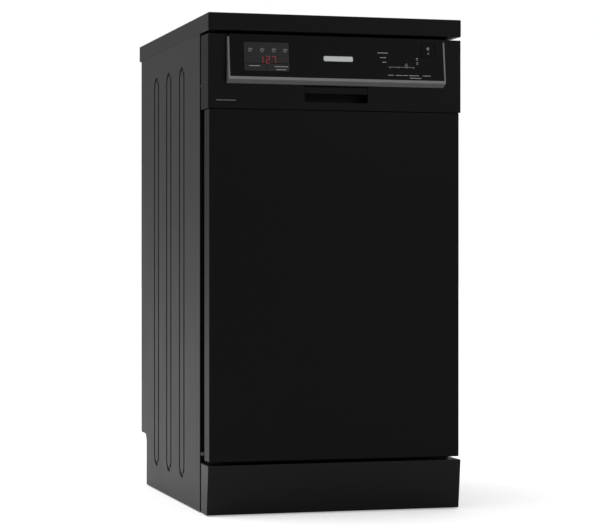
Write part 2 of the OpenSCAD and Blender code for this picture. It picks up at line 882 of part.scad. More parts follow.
module lower_wheels_front() {
    wheel_pair(wheel_r, wheel_w, axle_r, wheel_x, lower_axles[0], axle_z);
}

module lower_wheels_rear() {
    wheel_pair(wheel_r, wheel_w, axle_r, wheel_x, lower_axles[1], axle_z);
}

module fold_tines() {
    color([0.62, 0.64, 0.67]) {
        rod_y(pivot_r, rack_front + 30, rack_rear - 30, fold_x, pivot_z);
        for (y = tine_places())
            span([fold_x - 1.5, y - 1.5, pivot_z - 1], [fold_x + 1.5, y + 1.5, pivot_z + tine_h]);
    }
}

module upper_rack() {
    color([0.62, 0.64, 0.67]) {
        wire_rack(upper_x, upper_z, 9, 9);
        for (y = clip_places())
            difference() {
                span([shelf_x - 9, y - 4, shelf_z - 5], [shelf_x + 4, y + 4, shelf_z + 4.5]);
                rod_y(pivot_r + run_gap, y - 5, y + 5, shelf_x, shelf_z);
            }
        for (x = [-upper_x * 0.3, upper_x * 0.38], y = tine_places())
            wire_z(upper_z, upper_z + tine_h * 0.62, x, y);
        for (x = [-upper_x * 0.3, upper_x * 0.38])
            wire_y(rack_front + wire / 2, rack_rear - wire / 2, x, upper_z + wire * 1.25);
        for (s = [-1, 1], y = upper_axles) {
            span([s > 0 ? upper_x - 4.5 : -upper_x - 3, y - 11, rail_z - 9],
                [s > 0 ? upper_x + 3 : -upper_x + 4.5, y + 11, rail_z + 9]);
            rod_x(pivot_r, s > 0 ? upper_x : -rail_x + rail_t + 1, s > 0 ? rail_x - rail_t - 1 : -upper_x,
                y, rail_z);
        }
    }
}

module upper_wheels_front() {
    wheel_pair(rail_wheel_r, rail_wheel_w, pivot_r, rail_x - rail_t - 4, upper_axles[0], rail_z);
}

module upper_wheels_rear() {
    wheel_pair(rail_wheel_r, rail_wheel_w, pivot_r, rail_x - rail_t - 4, upper_axles[1], rail_z);
}

// Channels that run out with the upper rack, open towards it
module upper_rails() {
    low = rail_z - rail_h / 2;
    color([0.66, 0.67, 0.69]) both_sides() difference() {
        span([rail_x - rail_w, rack_front - 6, low], [rail_x, rack_rear + 4, low + rail_h]);
        span([rail_x - rail_w - 1, rack_front - 7, low + rail_t],
            [rail_x - rail_t, rack_rear + 5, low + rail_h - rail_t]);
    }
}

// Blocks on the tub walls that hold the channels from above and below
module rail_guides() {
    low = rail_z - rail_h / 2;
    color([0.5, 0.5, 0.52]) both_sides() for (y = [tub_front + 38, tub_front + 168])
        for (z = [low - 7, low + rail_h + 1])
            span([rail_x - rail_w, y, z], [tub_x, y + 22, z + 6]);
}

module cup_shelf() {
    y0 = rack_front + 44;
    y1 = rack_rear - 44;
    color([0.62, 0.64, 0.67]) {
        rod_y(pivot_r, rack_front + 34, rack_rear - 34, shelf_x, shelf_z);
        for (i = [0 : 8])
            span([shelf_x - 1, y0 + i * (y1 - y0 - 3) / 8, shelf_z - 1.5],
                [shelf_x + shelf_w, y0 + i * (y1 - y0 - 3) / 8 + 3, shelf_z + 1.5]);
        span([shelf_x + shelf_w - 3, y0 - 2, shelf_z - 1], [shelf_x + shelf_w + 1, y1 + 2, shelf_z + 3]);
    }
}

// Cutlery basket with three bays
module cutlery_basket() {
    wall = 2;
    bays = 3;
    bay_l = (basket_l - (bays + 1) * wall) / bays;
    color([0.45, 0.46, 0.48]) translate([basket_x, basket_y, basket_z]) difference() {
        cube([basket_w, basket_l, basket_h]);
        for (i = [0 : bays - 1])
            translate([wall, wall + i * (bay_l + wall), wall])
                cube([basket_w - 2 * wall, bay_l, basket_h]);
    }
}

// ---- Door ----

module door_outer_panel() {
    notch_x = bracket_x - 1.2;
    color([0.065, 0.065, 0.07]) difference() {
        span([-door_x, door_y, door_z], [door_x, door_rear, control_z]);
        span([-door_x + sheet_t, door_y + sheet_t, door_z + sheet_t],
            [door_x - sheet_t, door_rear + through, control_z - sheet_t]);
        for (x = [notch_x, -notch_x - bracket_t - 2.4])
            span([x, hinge_y - 10, door_z - through], [x + bracket_t + 2.4, door_rear + through, door_z + 3]);
    }
}

// Stainless inner face of the door, with the bulge that fills the tub's mouth
module door_liner() {
    t = sheet_t;
    hole_x = dispenser_w / 2 + fit_gap;
    color([0.72, 0.73, 0.74]) difference() {
        union() {
            span([-liner_x, liner_y, liner_z], [liner_x, liner_rear, liner_top]);
            span([-bulge_x, liner_rear - t, bulge_z], [bulge_x, bulge_y, bulge_top]);
            span([-liner_x, liner_y, door_z + 2], [liner_x, liner_y + t, liner_z + t]);
        }
        span([-liner_x + t, liner_y - through, liner_z + t], [liner_x - t, liner_rear - t, liner_top - t]);
        span([-bulge_x + t, liner_rear - 2 * t, bulge_z + t], [bulge_x - t, bulge_y - t, bulge_top - t]);
        span([-hole_x, liner_rear, dispenser_z - fit_gap],
            [hole_x, bulge_y + through, dispenser_z + dispenser_h + fit_gap]);
    }
}

// Hinge plates on the door that turn on the fixed pins
module door_hinge_arms() {
    color([0.62, 0.63, 0.65]) both_sides() difference() {
        span([arm_plate_x, hinge_y - 13, door_z + 4],
            [arm_plate_x + bracket_t - 0.4, hinge_y + 13, hinge_z + 190]);
        rod_x(hinge_pin_r + run_gap, arm_plate_x - 1, arm_plate_x + bracket_t + 1, hinge_y, hinge_z);
    }
}

// Moulded control housing with the handle pocket and the pivot ears
module control_panel() {
    w = control_wall;
    pocket_x = slot_w / 2 + 2;
    pocket_low = slot_z - 3;
    pocket_top = lever_z + 7;
    color([0.06, 0.06, 0.065]) difference() {
        union() {
            difference() {
                span([-hw, control_y, control_z], [hw, control_rear, control_top]);
                span([-hw + w, control_y + w, control_z + w], [hw - w, control_rear + through, control_top - w]);
                span([-hw + w, liner_y - 1, control_z - through],
                    [hw - w, control_rear + through, control_top - w]);
            }
            span([-pocket_x - w, control_y + 1, pocket_low - w],
                [pocket_x + w, control_y + pocket_depth, pocket_top + w]);
            for (x = [-9 - ear_t, 9])
                span([x, latch_y - 5, latch_z - 1], [x + ear_t, latch_y + 5, control_top - 1]);
        }
        span([-pocket_x, control_y + w, pocket_low], [pocket_x, control_y + pocket_depth - w, pocket_top]);
        span([-slot_w / 2, control_y - through, slot_z], [slot_w / 2, control_y + w + 1, slot_z + slot_h]);
        rod_x(lever_r + run_gap, -pocket_x - w - 1, pocket_x + w + 1, lever_y, lever_z);
        rod_x(lever_r + run_gap, -15, 15, latch_y, latch_z + 4.6);
    }
}

// Lever behind the slot: its lower edge is pulled forward to open the door
module handle_lever() {
    x = slot_w / 2 - 0.6;
    color([0.09, 0.09, 0.095]) {
        rod_x(lever_r, -slot_w / 2 - 2 - control_wall, slot_w / 2 + 2 + control_wall, lever_y, lever_z);
        profile_x(-x, x, [
            [control_y + 0.6, slot_z + finger_h], [control_y + 5, slot_z + finger_h],
            [control_y + 7.5, slot_z + slot_h - 1], [lever_y + 1.5, lever_z - 1],
            [lever_y - 1.5, lever_z + 1], [control_y + 4.6, slot_z + slot_h + 1],
            [control_y + 4.6, slot_z + slot_h - 2.8], [control_y + 0.6, slot_z + slot_h - 2.8]
        ]);
    }
}

module latch_hook() {
    z = latch_z + 4.6;
    color([0.5, 0.51, 0.52]) {
        rod_x(lever_r, -11.5, 11.5, latch_y, z);
        span([-6, latch_y - 3, z - 2], [6, liner_rear + 6, z + 2]);
        span([-6, liner_rear + 3.5, latch_z + 0.8], [6, liner_rear + 6, z + 1]);
    }
}

// Places children on the tilted fascia: Y runs into it, Z up along it
module on_fascia() {
    translate([0, lip_y, band_top]) rotate([-tilt, 0, 0]) children();
}

module fascia_insert() {
    x = insert_x - trim_w;
    color([0.05, 0.05, 0.055]) difference() {
        profile_x(-x, x, [
            [control_y, band_top], [lip_y, band_top], [lip_top_y, control_top], [control_y, control_top]
        ]);
        on_fascia() {
            span([window_x - fit_gap, -through, window_z + key_h],
                [window_x + window_w + fit_gap, 2.4, window_z + window_h + fit_gap]);
            span([window_x - fit_gap, -through, window_z - fit_gap],
                [window_x + window_w + fit_gap, key_t + key_travel + 0.8, window_z + key_h + fit_gap]);
            span([power_x - power_w / 2 - fit_gap, -through, power_z - fit_gap],
                [power_x + power_w / 2 + fit_gap, power_t + key_travel + 0.6, power_z + power_h + fit_gap]);
        }
    }
}

// Silver frame on the sides and under the fascia
module silver_trim() {
    color([0.62, 0.63, 0.64]) {
        for (x = [-insert_x, insert_x - trim_w])
            profile_x(x, x + trim_w, [
                [control_y, band_top], [lip_y, band_top], [lip_top_y, control_top], [control_y, control_top]
            ]);
        profile_x(-insert_x, insert_x, [
            [control_y, band_z], [lip_y + 0.9, band_top - band_h * 0.41], [lip_y, band_top],
            [control_y, band_top]
        ]);
    }
}

module display_window() {
    color([0.15, 0.15, 0.16]) on_fascia()
        span([window_x, 0.2, window_z + key_h + 1.5 * fit_gap], [window_x + window_w, 2.4, window_z + window_h]);
}

module program_key() {
    color([0.15, 0.15, 0.16]) on_fascia()
        span([window_x, 0.2, window_z], [window_x + key_w, 0.2 + key_t, window_z + key_h]);
}

module start_key() {
    color([0.15, 0.15, 0.16]) on_fascia()
        span([window_x + window_w - key_w, 0.2, window_z], [window_x + window_w, 0.2 + key_t, window_z + key_h]);
}

module power_key() {
    color([0.05, 0.05, 0.055]) on_fascia()
        span([power_x - power_w / 2, 0.1, power_z], [power_x + power_w / 2, 0.1 + power_t, power_z + power_h]);
}

module dispenser_body() {
    x = dispenser_w / 2;
    lid_x = [cup_x - 3, cup_x + cup_w + 3];
    color([0.82, 0.83, 0.84]) difference() {
        union() {
            span([-x, bulge_y + 2 - dispenser_depth, dispenser_z], [x, bulge_y + 2, dispenser_z + dispenser_h]);
            for (rail = [lid_x[0] - 3, lid_x[1] + 1])
                span([rail, bulge_y + 1, dispenser_z + 6], [rail + 2, bulge_y + 5, dispenser_z + dispenser_h - 3]);
        }
        span([cup_x, bulge_y + 2 - cup_depth, cup_z], [cup_x + cup_w, bulge_y + 2 + through, cup_z + cup_h]);
        rod_y(rinse_r + run_gap, bulge_y - 16, bulge_y + 3, rinse_x, rinse_z);
    }
}

module dispenser_lid() {
    color([0.88, 0.89, 0.9]) {
        span([cup_x - 3, bulge_y + 2.3, cup_z - 3], [cup_x + cup_w + 3, bulge_y + 4.5, cup_z + cup_h + 3]);
        span([cup_x + cup_w / 2 - 16, bulge_y + 4, cup_z + 4], [cup_x + cup_w / 2 + 16, bulge_y + 6, cup_z + 8]);
    }
}

module rinse_cap() {
    color([0.3, 0.42, 0.6]) {
        rod_y(rinse_r, bulge_y - 14, bulge_y + 3, rinse_x, rinse_z);
        rod_y(rinse_r + 6, bulge_y + 2.3, bulge_y + 4.6, rinse_x, rinse_z);
        span([rinse_x - 11, bulge_y + 4, rinse_z - 2], [rinse_x + 11, bulge_y + 6.5, rinse_z + 2]);
    }
}

base_tray();
side_panel_left();
side_panel_right();
rear_panel();
worktop_board();
worktop_edging();
front_frame();
tub();
tub_gasket();
plinth();
hinge_brackets();
foot_front_left();
foot_front_right();
foot_rear_left();
foot_rear_right();
sump();
filter_plate();
filter_cylinder();
circulation_pump();
pump_impeller();
drain_pump();
drain_impeller();
softener_tank();
salt_cap();
inlet_valve();
drain_spigot();
mains_gland();
air_break_tank();
feed_pipe();
door_springs();
rail_guides();
lower_spray_arm();
upper_spray_arm();
spray_manifold();
upper_rails();
upper_rack();
lower_rack();
lower_wheels_front();
lower_wheels_rear();
upper_wheels_front();
upper_wheels_rear();
cutlery_basket();
fold_tines();
cup_shelf();
door_outer_panel();
door_liner();
control_panel();
fascia_insert();
silver_trim();
display_window();
program_key();
start_key();
power_key();
handle_lever();
latch_hook();
dispenser_body();
dispenser_lid();
rinse_cap();
door_hinge_arms();
cabinet_screws();
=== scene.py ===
"""Slimline dishwasher: finishes, shells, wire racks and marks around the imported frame."""

import math

import bpy
from bpy.props import FloatProperty, FloatVectorProperty, IntProperty, PointerProperty
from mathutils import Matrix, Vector


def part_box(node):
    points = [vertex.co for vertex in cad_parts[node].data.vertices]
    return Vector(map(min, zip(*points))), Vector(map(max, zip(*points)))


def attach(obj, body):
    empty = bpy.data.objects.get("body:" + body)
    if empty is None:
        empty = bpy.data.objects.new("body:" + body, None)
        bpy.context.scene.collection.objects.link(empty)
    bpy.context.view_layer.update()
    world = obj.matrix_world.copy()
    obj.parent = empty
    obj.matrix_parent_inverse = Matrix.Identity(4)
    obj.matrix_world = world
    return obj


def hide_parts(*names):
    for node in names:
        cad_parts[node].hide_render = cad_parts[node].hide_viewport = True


bl_info = {
    "name": "Slimline Dishwasher",
    "version": (1, 0, 0),
    "blender": (4, 5, 0),
    "location": "View3D > Sidebar > Dishwasher",
    "description": "Builds the visible pieces of a free-standing slimline dishwasher",
    "category": "Object",
}

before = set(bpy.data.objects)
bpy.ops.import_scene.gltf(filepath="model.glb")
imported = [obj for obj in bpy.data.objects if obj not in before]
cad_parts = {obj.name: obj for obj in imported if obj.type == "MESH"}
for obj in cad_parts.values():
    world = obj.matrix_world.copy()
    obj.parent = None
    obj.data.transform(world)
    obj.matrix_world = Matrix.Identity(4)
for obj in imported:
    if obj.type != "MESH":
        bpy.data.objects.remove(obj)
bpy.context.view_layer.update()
MM = 0.001
UPRIGHT = (math.pi / 2, 0, 0)  # turns a flat shape to face the front


# ---- Sizes and colours ----

def length(name, description, default):
    return FloatProperty(name=name, description=description, default=default, unit="LENGTH")


def tint(name, description, default):
    return FloatVectorProperty(name=name, description=description, default=default,
                               size=3, min=0, max=1, subtype="COLOR")


class ApplianceSizes(bpy.types.PropertyGroup):
    worktop_round: length("Worktop edge", "Radius along the edges of the worktop", 0.0018)
    door_round: length("Door edge", "Radius where the door skin folds back", 0.0022)
    edge_trim: length("Painted gap shade", "Thickness of the trims beside the door liner, near-black as painted gap shade", 0.0008)
    moulding_round: length("Moulding edge", "Radius on the corners of moulded parts", 0.0012)
    sheet: length("Sheet", "Thickness of the folded steel", 0.001)
    fascia_lean: length("Fascia lean", "How far the fascia leans back at its top", 0.010)
    wire: length("Wire", "Diameter of a coated rack wire", 0.004)
    wire_bend: length("Wire bend", "Radius at which a rack wire is bent", 0.014)
    rack_wires: IntProperty(
        name="Rack wires", description="Wires each way in a rack", default=9, min=3)
    digit_height: length("Digit", "Height of a lit figure in the display", 0.013)
    icon_radius: length("Icon", "Radius of a ring mark over the display", 0.0027)
    trim_drop: length(
        "Frame drop", "How far the silver frame ends below the top of the fascia", 0.005)
    print_depth: length("Print", "Thickness of the printed marks", 0.00012)
    spring_pitch: length("Spring pitch", "Rise of one turn of a door spring", 0.0028)
    basket_cell: length("Basket cell", "Width of an opening in the cutlery basket", 0.0098)


class ApplianceColours(bpy.types.PropertyGroup):
    front_black: tint("Front", "Gloss black of the door skin", (0.0026, 0.0026, 0.0028))
    side_black: tint("Sides", "Satin black paint of the side panels", (0.0145, 0.0147, 0.0152))
    worktop_black: tint("Worktop", "Black laminate", (0.0022, 0.0022, 0.0024))
    moulded_black: tint("Mouldings", "Black moulded plastic", (0.0028, 0.0028, 0.003))
    silver: tint("Trim", "Dark silver lacquer on the fascia frame", (0.17, 0.172, 0.176))
    smoke: tint("Window", "Smoked plastic over the display", (0.0105, 0.0107, 0.0112))
    lit_red: tint("Display", "Lit figures in the display", (0.30, 0.008, 0.014))
    print_grey: tint("Print", "Printed symbols and lines", (0.30, 0.305, 0.31))
    badge: tint("Badge", "Blank plate in the middle of the fascia", (0.50, 0.51, 0.52))
    stainless: tint("Stainless", "Rolled stainless steel", (0.42, 0.43, 0.44))
    zinc: tint("Zinc", "Zinc coated steel", (0.42, 0.43, 0.44))
    coating: tint("Rack coating", "Nylon coating of the wires", (0.24, 0.27, 0.31))
    grey_plastic: tint("Grey plastic", "Grey moulded parts", (0.11, 0.12, 0.13))
    light_plastic: tint("Light plastic", "Dispenser and lid", (0.52, 0.54, 0.55))
    spray_plastic: tint("Spray arms", "Moulded spray arms and pipe", (0.30, 0.32, 0.34))
    blue_plastic: tint("Caps", "Blue caps and filter grip", (0.05, 0.13, 0.28))
    tray_plastic: tint("Tray", "Moulded base tray", (0.030, 0.031, 0.033))
    # The trim colour is near-black as painted shade in the gap between the door and the side
    # panels.
    gap_shade_black: tint("Painted gap shade", "Near-black painted shade in the gap beside the door", (0.004, 0.004, 0.004))
    rubber: tint("Rubber", "Gasket and feet", (0.012, 0.012, 0.012))


# ---- Modelling helpers ----

def sizes():
    return bpy.context.scene.appliance_sizes


def colours():
    return bpy.context.scene.appliance_colours


def deselect():
    if bpy.context.object and bpy.context.object.mode != "OBJECT":
        bpy.ops.object.mode_set(mode="OBJECT")
    bpy.ops.object.select_all(action="DESELECT")


def pick(*pieces):
    deselect()
    for piece in pieces:
        piece.select_set(True)
    bpy.context.view_layer.objects.active = pieces[0]


def settle(piece):
    """Puts the piece's place into its mesh."""
    pick(piece)
    bpy.ops.object.transform_apply(location=True, rotation=True, scale=True)
    return piece


def block(low, high):
    deselect()
    low, high = Vector(low), Vector(high)
    bpy.ops.mesh.primitive_cube_add(size=1, location=(low + high) / 2, scale=high - low)
    return settle(bpy.context.object)


def rod(start, end, radius, sides=24):
    deselect()
    start, end = Vector(start), Vector(end)
    along = end - start
    bpy.ops.mesh.primitive_cylinder_add(
        vertices=sides, radius=radius, depth=along.length, location=(start + end) / 2,
        rotation=along.to_track_quat("Z", "Y").to_euler())
    return settle(bpy.context.object)


def apply_modifier(piece, kind, **values):
    pick(piece)
    modifier = piece.modifiers.new(kind.title(), kind)
    for key, value in values.items():
        setattr(modifier, key, value)
    bpy.ops.object.modifier_apply(modifier=modifier.name)
    return piece


def soften(piece, width, segments=2, angle=35):
    """Rounds the sharp edges."""
    return apply_modifier(
        piece, "BEVEL", width=width, segments=segments, limit_method="ANGLE",
        angle_limit=math.radians(angle), use_clamp_overlap=True)


def cut(piece, *tools):
    for tool in tools:
        apply_modifier(piece, "BOOLEAN", operation="DIFFERENCE", solver="EXACT", object=tool)
        bpy.data.objects.remove(tool)
    return piece


def join(*pieces):
    if len(pieces) > 1:
        pick(*pieces)
        bpy.ops.object.join()
    return pieces[0]


def duplicate(piece, shift):
    pick(piece)
    bpy.ops.object.duplicate()
    copy = bpy.context.object
    bpy.ops.transform.translate(value=shift)
    return settle(copy)


def repeat(piece, count, step):
    """A row of copies in one mesh."""
    return apply_modifier(
        piece, "ARRAY", count=count, use_relative_offset=False, use_constant_offset=True,
        constant_offset_displace=step)


def mirrored(piece):
    """The piece and its twin on the other side of the machine."""
    pick(piece)
    bpy.ops.object.duplicate()
    twin = bpy.context.object
    twin.scale.x = -1
    settle(twin)
    bpy.ops.object.mode_set(mode="EDIT")
    bpy.ops.mesh.select_all(action="SELECT")
    bpy.ops.mesh.normals_make_consistent(inside=False)
    bpy.ops.object.mode_set(mode="OBJECT")
    return join(piece, twin)


def edit(piece, kind, test, *steps):
    """Edits the faces, edges or vertices whose middle and direction pass the test."""
    pick(piece)
    bpy.ops.object.mode_set(mode="EDIT")
    bpy.ops.mesh.select_mode(type=kind)
    bpy.ops.mesh.select_all(action="DESELECT")
    bpy.ops.object.mode_set(mode="OBJECT")
    mesh = piece.data
    if kind == "FACE":
        for face in mesh.polygons:
            face.select = test(face.center, face.normal)
    elif kind == "EDGE":
        for edge in mesh.edges:
            a, b = (mesh.vertices[v].co for v in edge.vertices)
            edge.select = test((a + b) / 2, (b - a).normalized())
    else:
        for vertex in mesh.vertices:
            vertex.select = test(vertex.co, None)
    bpy.ops.object.mode_set(mode="EDIT")
    for step in steps:
        step()
    bpy.ops.object.mode_set(mode="OBJECT")
    return piece


def near(a, b, gap=1e-4):
    return abs(a - b) < gap


def facing(way):
    """Tests for faces that look along an axis: "+z", "-z", or "z" for both ways."""
    axis = "xyz".index(way[-1])
    sign = {"+": 1, "-": -1}.get(way[0])
    return lambda at, normal: (normal[axis] * sign if sign else abs(normal[axis])) > 0.9


def inset(width):
    return lambda: bpy.ops.mesh.inset(thickness=width)


def move(x, y, z):
    return lambda: bpy.ops.transform.translate(value=(x, y, z))


def resize(x, y, z):
    return lambda: bpy.ops.transform.resize(value=(x, y, z))


def bevel(width):
    return lambda: bpy.ops.mesh.bevel(offset=width, segments=4)


def both_sides(side, inner, outer):
    """The two x values on one side of the machine, the smaller first."""
    return sorted((side * inner, side * outer))


def circle_spots(count, radius):
    """Evenly spaced points on a circle about the origin."""
    for step in range(count):
        turn = step * math.tau / count
        yield math.cos(turn) * radius, math.sin(turn) * radius


def flat_ring(radius, gauge, place):
    """A thin ring that faces the front."""
    deselect()
    bpy.ops.mesh.primitive_torus_add(
        major_radius=radius, minor_radius=gauge, major_segments=24, minor_segments=6,
        location=place, rotation=UPRIGHT)
    return settle(bpy.context.object)


def ring_block(low, high, wall):
    """A rectangular frame: a block whose two end faces are inset and bridged through."""
    return edit(
        block(low, high), "FACE", facing("z"),
        lambda: bpy.ops.mesh.inset(thickness=wall, use_even_offset=True),
        bpy.ops.mesh.bridge_edge_loops)


def bent_wire(plane, low, high, bend, radius, open_top=False):
    """A round wire bent to a rectangle, or to a U when its top is left open."""
    deselect()
    low, high = Vector(low), Vector(high)
    size = high - low
    turn = {"XY": (0, 0, 0), "XZ": UPRIGHT, "YZ": (0, math.pi / 2, 0)}[plane]
    spans = {"XY": (size.x, size.y), "XZ": (size.x, size.z), "YZ": (size.z, size.y)}[plane]
    bpy.ops.mesh.primitive_plane_add(size=1, location=(low + high) / 2, rotation=turn)
    wire = bpy.context.object
    wire.scale = (spans[0], spans[1], 1)
    settle(wire)
    edit(
        wire, "VERT", lambda at, _: not open_top or near(at.z, low.z),
        lambda: bpy.ops.mesh.bevel(offset=bend, segments=5, affect="VERTICES"))
    edit(wire, "FACE", lambda at, normal: True, lambda: bpy.ops.mesh.delete(type="ONLY_FACE"))
    if open_top:
        edit(
            wire, "EDGE", lambda at, along: near(at.z, high.z) and abs(along.z) < 0.1,
            lambda: bpy.ops.mesh.delete(type="EDGE"))
    pick(wire)
    bpy.ops.object.convert(target="CURVE")
    wire = bpy.context.object
    wire.data.bevel_depth = radius
    wire.data.bevel_resolution = 1
    wire.data.use_fill_caps = True
    bpy.ops.object.convert(target="MESH")
    return bpy.context.object


def merged_copy(node):
    """A copy of a CAD node with its triangles merged into whole faces."""
    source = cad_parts[node]
    piece = bpy.data.objects.new(node + "_copy", source.data.copy())
    bpy.context.scene.collection.objects.link(piece)
    piece.data.materials.clear()
    pick(piece)
    bpy.ops.mesh.customdata_custom_splitnormals_clear()
    bpy.ops.object.mode_set(mode="EDIT")
    bpy.ops.mesh.select_all(action="SELECT")
    bpy.ops.mesh.remove_doubles(threshold=2e-6)
    bpy.ops.mesh.dissolve_limited(angle_limit=math.radians(0.6))
    bpy.ops.object.mode_set(mode="OBJECT")
    return piece


def done(piece, name, body, slot, finish, *nodes, angle=40):
    """Names a finished piece, gives it its finish and lets it ride on its body."""
    piece.name = name
    piece.data.name = name
    piece.data.materials.clear()
    piece.data.materials.append(bpy.data.materials[finish])
    pick(piece)
    bpy.ops.object.shade_smooth_by_angle(angle=math.radians(angle))
    apply_modifier(piece, "WEIGHTED_NORMAL", keep_sharp=True)
    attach(piece, body)
    if nodes:
        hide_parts(*nodes)
    deselect()
    return piece


def rounded_node(node, name, body, slot, finish, width, segments=2, angle=35):
    return done(
        soften(merged_copy(node), width, segments, angle), name, body, slot, finish, node)


# ---- Finishes ----

def new_group(name, output, output_kind, **inputs):
    """An empty effect with one output; a tuple of four is a colour, of three a vector."""
    kinds = {4: "NodeSocketColor", 3: "NodeSocketVector"}
    tree = bpy.data.node_groups.new(name, "ShaderNodeTree")
    for label, value in inputs.items():
        kind = kinds[len(value)] if isinstance(value, tuple) else "NodeSocketFloat"
        socket = tree.interface.new_socket(name=label, in_out="INPUT", socket_type=kind)
        socket.default_value = value
    tree.interface.new_socket(name=output, in_out="OUTPUT", socket_type=output_kind)
    return tree, tree.nodes.new("NodeGroupInput"), tree.nodes.new("NodeGroupOutput")


def add_node(tree, kind, operation=None, inputs=()):
    node = tree.nodes.new("ShaderNode" + kind)
    if operation:
        node.operation = operation
    for socket, value in inputs:
        node.inputs[socket].default_value = value
    return node


def connect(tree, *links):
    """Joins an output of one node to an input of the next, for each link."""
    for source, output, target, socket in links:
        tree.links.new(source.outputs[output], target.inputs[socket])


def build_shade_group():
    """Slow drift of the colour, with dust on what faces up."""
    tree, entry, leave = new_group(
        "Shade drift", "Colour", "NodeSocketColor",
        Colour=(0.5, 0.5, 0.5, 1), Amount=0.1, Scale=8.0, Dust=0.0)
    coordinates = add_node(tree, "TexCoord")
    noise = add_node(tree, "TexNoise", inputs=[("Detail", 4)])
    spread = add_node(tree, "MapRange", inputs=[("From Min", 0.3), ("From Max", 0.7)])
    darkest = add_node(tree, "Math", "SUBTRACT", [(0, 1)])
    lightest = add_node(tree, "Math", "ADD", [(0, 1)])
    drift = add_node(tree, "VectorMath", "SCALE")
    upward = add_node(tree, "SeparateXYZ")
    flakes = add_node(tree, "TexNoise", inputs=[("Scale", 420), ("Detail", 3)])
    level = add_node(tree, "MapRange", inputs=[("From Min", 0.75), ("From Max", 1.0)])
    lying = add_node(tree, "Math", "MULTIPLY")
    strength = add_node(tree, "Math", "MULTIPLY")
    dusted = add_node(tree, "Mix")
    dusted.data_type = "RGBA"
    dusted.inputs[7].default_value = (0.32, 0.31, 0.29, 1)
    connect(
        tree,
        (coordinates, "Object", noise, "Vector"), (entry, "Scale", noise, "Scale"),
        (noise, "Fac", spread, "Value"),
        (entry, "Amount", darkest, 1), (entry, "Amount", lightest, 1),
        (darkest, 0, spread, "To Min"), (lightest, 0, spread, "To Max"),
        (entry, "Colour", drift, 0), (spread, "Result", drift, "Scale"),
        (coordinates, "Normal", upward, 0), (coordinates, "Object", flakes, "Vector"),
        (upward, "Z", level, "Value"), (level, "Result", lying, 0), (flakes, "Fac", lying, 1),
        (lying, 0, strength, 0), (entry, "Dust", strength, 1),
        (strength, 0, dusted, 0), (drift, 0, dusted, 6), (dusted, 2, leave, "Colour"))


def build_rub_group():
    """Uneven gloss: broad cloudy patches with fine hairline rubbing."""
    tree, entry, leave = new_group(
        "Rubbed gloss", "Roughness", "NodeSocketFloat", Roughness=0.4, Amount=0.08, Scale=14.0)
    coordinates = add_node(tree, "TexCoord")
    clouds = add_node(tree, "TexNoise", inputs=[("Detail", 5)])
    hair_map = add_node(tree, "Mapping", inputs=[("Scale", (260, 260, 9))])
    hairs = add_node(tree, "TexNoise", inputs=[("Scale", 1)])
    both = add_node(tree, "Math", "ADD")
    centred = add_node(tree, "Math", "SUBTRACT", [(1, 1.0)])
    scaled = add_node(tree, "Math", "MULTIPLY")
    total = add_node(tree, "Math", "ADD")
    total.use_clamp = True
    connect(
        tree,
        (coordinates, "Object", clouds, "Vector"), (coordinates, "Object", hair_map, "Vector"),
        (hair_map, 0, hairs, "Vector"), (entry, "Scale", clouds, "Scale"),
        (clouds, "Fac", both, 0), (hairs, "Fac", both, 1), (both, 0, centred, 0),
        (centred, 0, scaled, 0), (entry, "Amount", scaled, 1),
        (entry, "Roughness", total, 0), (scaled, 0, total, 1), (total, 0, leave, "Roughness"))


def build_grain_group():
    """Fine moulded or painted grain."""
    tree, entry, leave = new_group(
        "Surface grain", "Height", "NodeSocketFloat", Scale=900.0, Pits=0.4)
    coordinates = add_node(tree, "TexCoord")
    waves = add_node(tree, "TexNoise", inputs=[("Detail", 2)])
    pits = add_node(tree, "TexVoronoi")
    weigh = add_node(tree, "Math", "MULTIPLY")
    total = add_node(tree, "Math", "ADD")
    connect(
        tree,
        (coordinates, "Object", waves, "Vector"), (coordinates, "Object", pits, "Vector"),
        (entry, "Scale", waves, "Scale"), (entry, "Scale", pits, "Scale"),
        (pits, "Distance", weigh, 0), (entry, "Pits", weigh, 1),
        (waves, "Fac", total, 0), (weigh, 0, total, 1), (total, 0, leave, "Height"))


def build_brushed_group():
    """Long fine lines, as rolling or brushing leaves."""
    tree, entry, leave = new_group(
        "Brushed lines", "Height", "NodeSocketFloat", Stretch=(8.0, 900.0, 900.0))
    coordinates = add_node(tree, "TexCoord")
    stretch = add_node(tree, "Mapping")
    lines = add_node(tree, "TexNoise", inputs=[("Scale", 1), ("Detail", 3)])
    connect(
        tree,
        (coordinates, "Object", stretch, "Vector"), (entry, "Stretch", stretch, "Scale"),
        (stretch, 0, lines, "Vector"), (lines, "Fac", leave, "Height"))


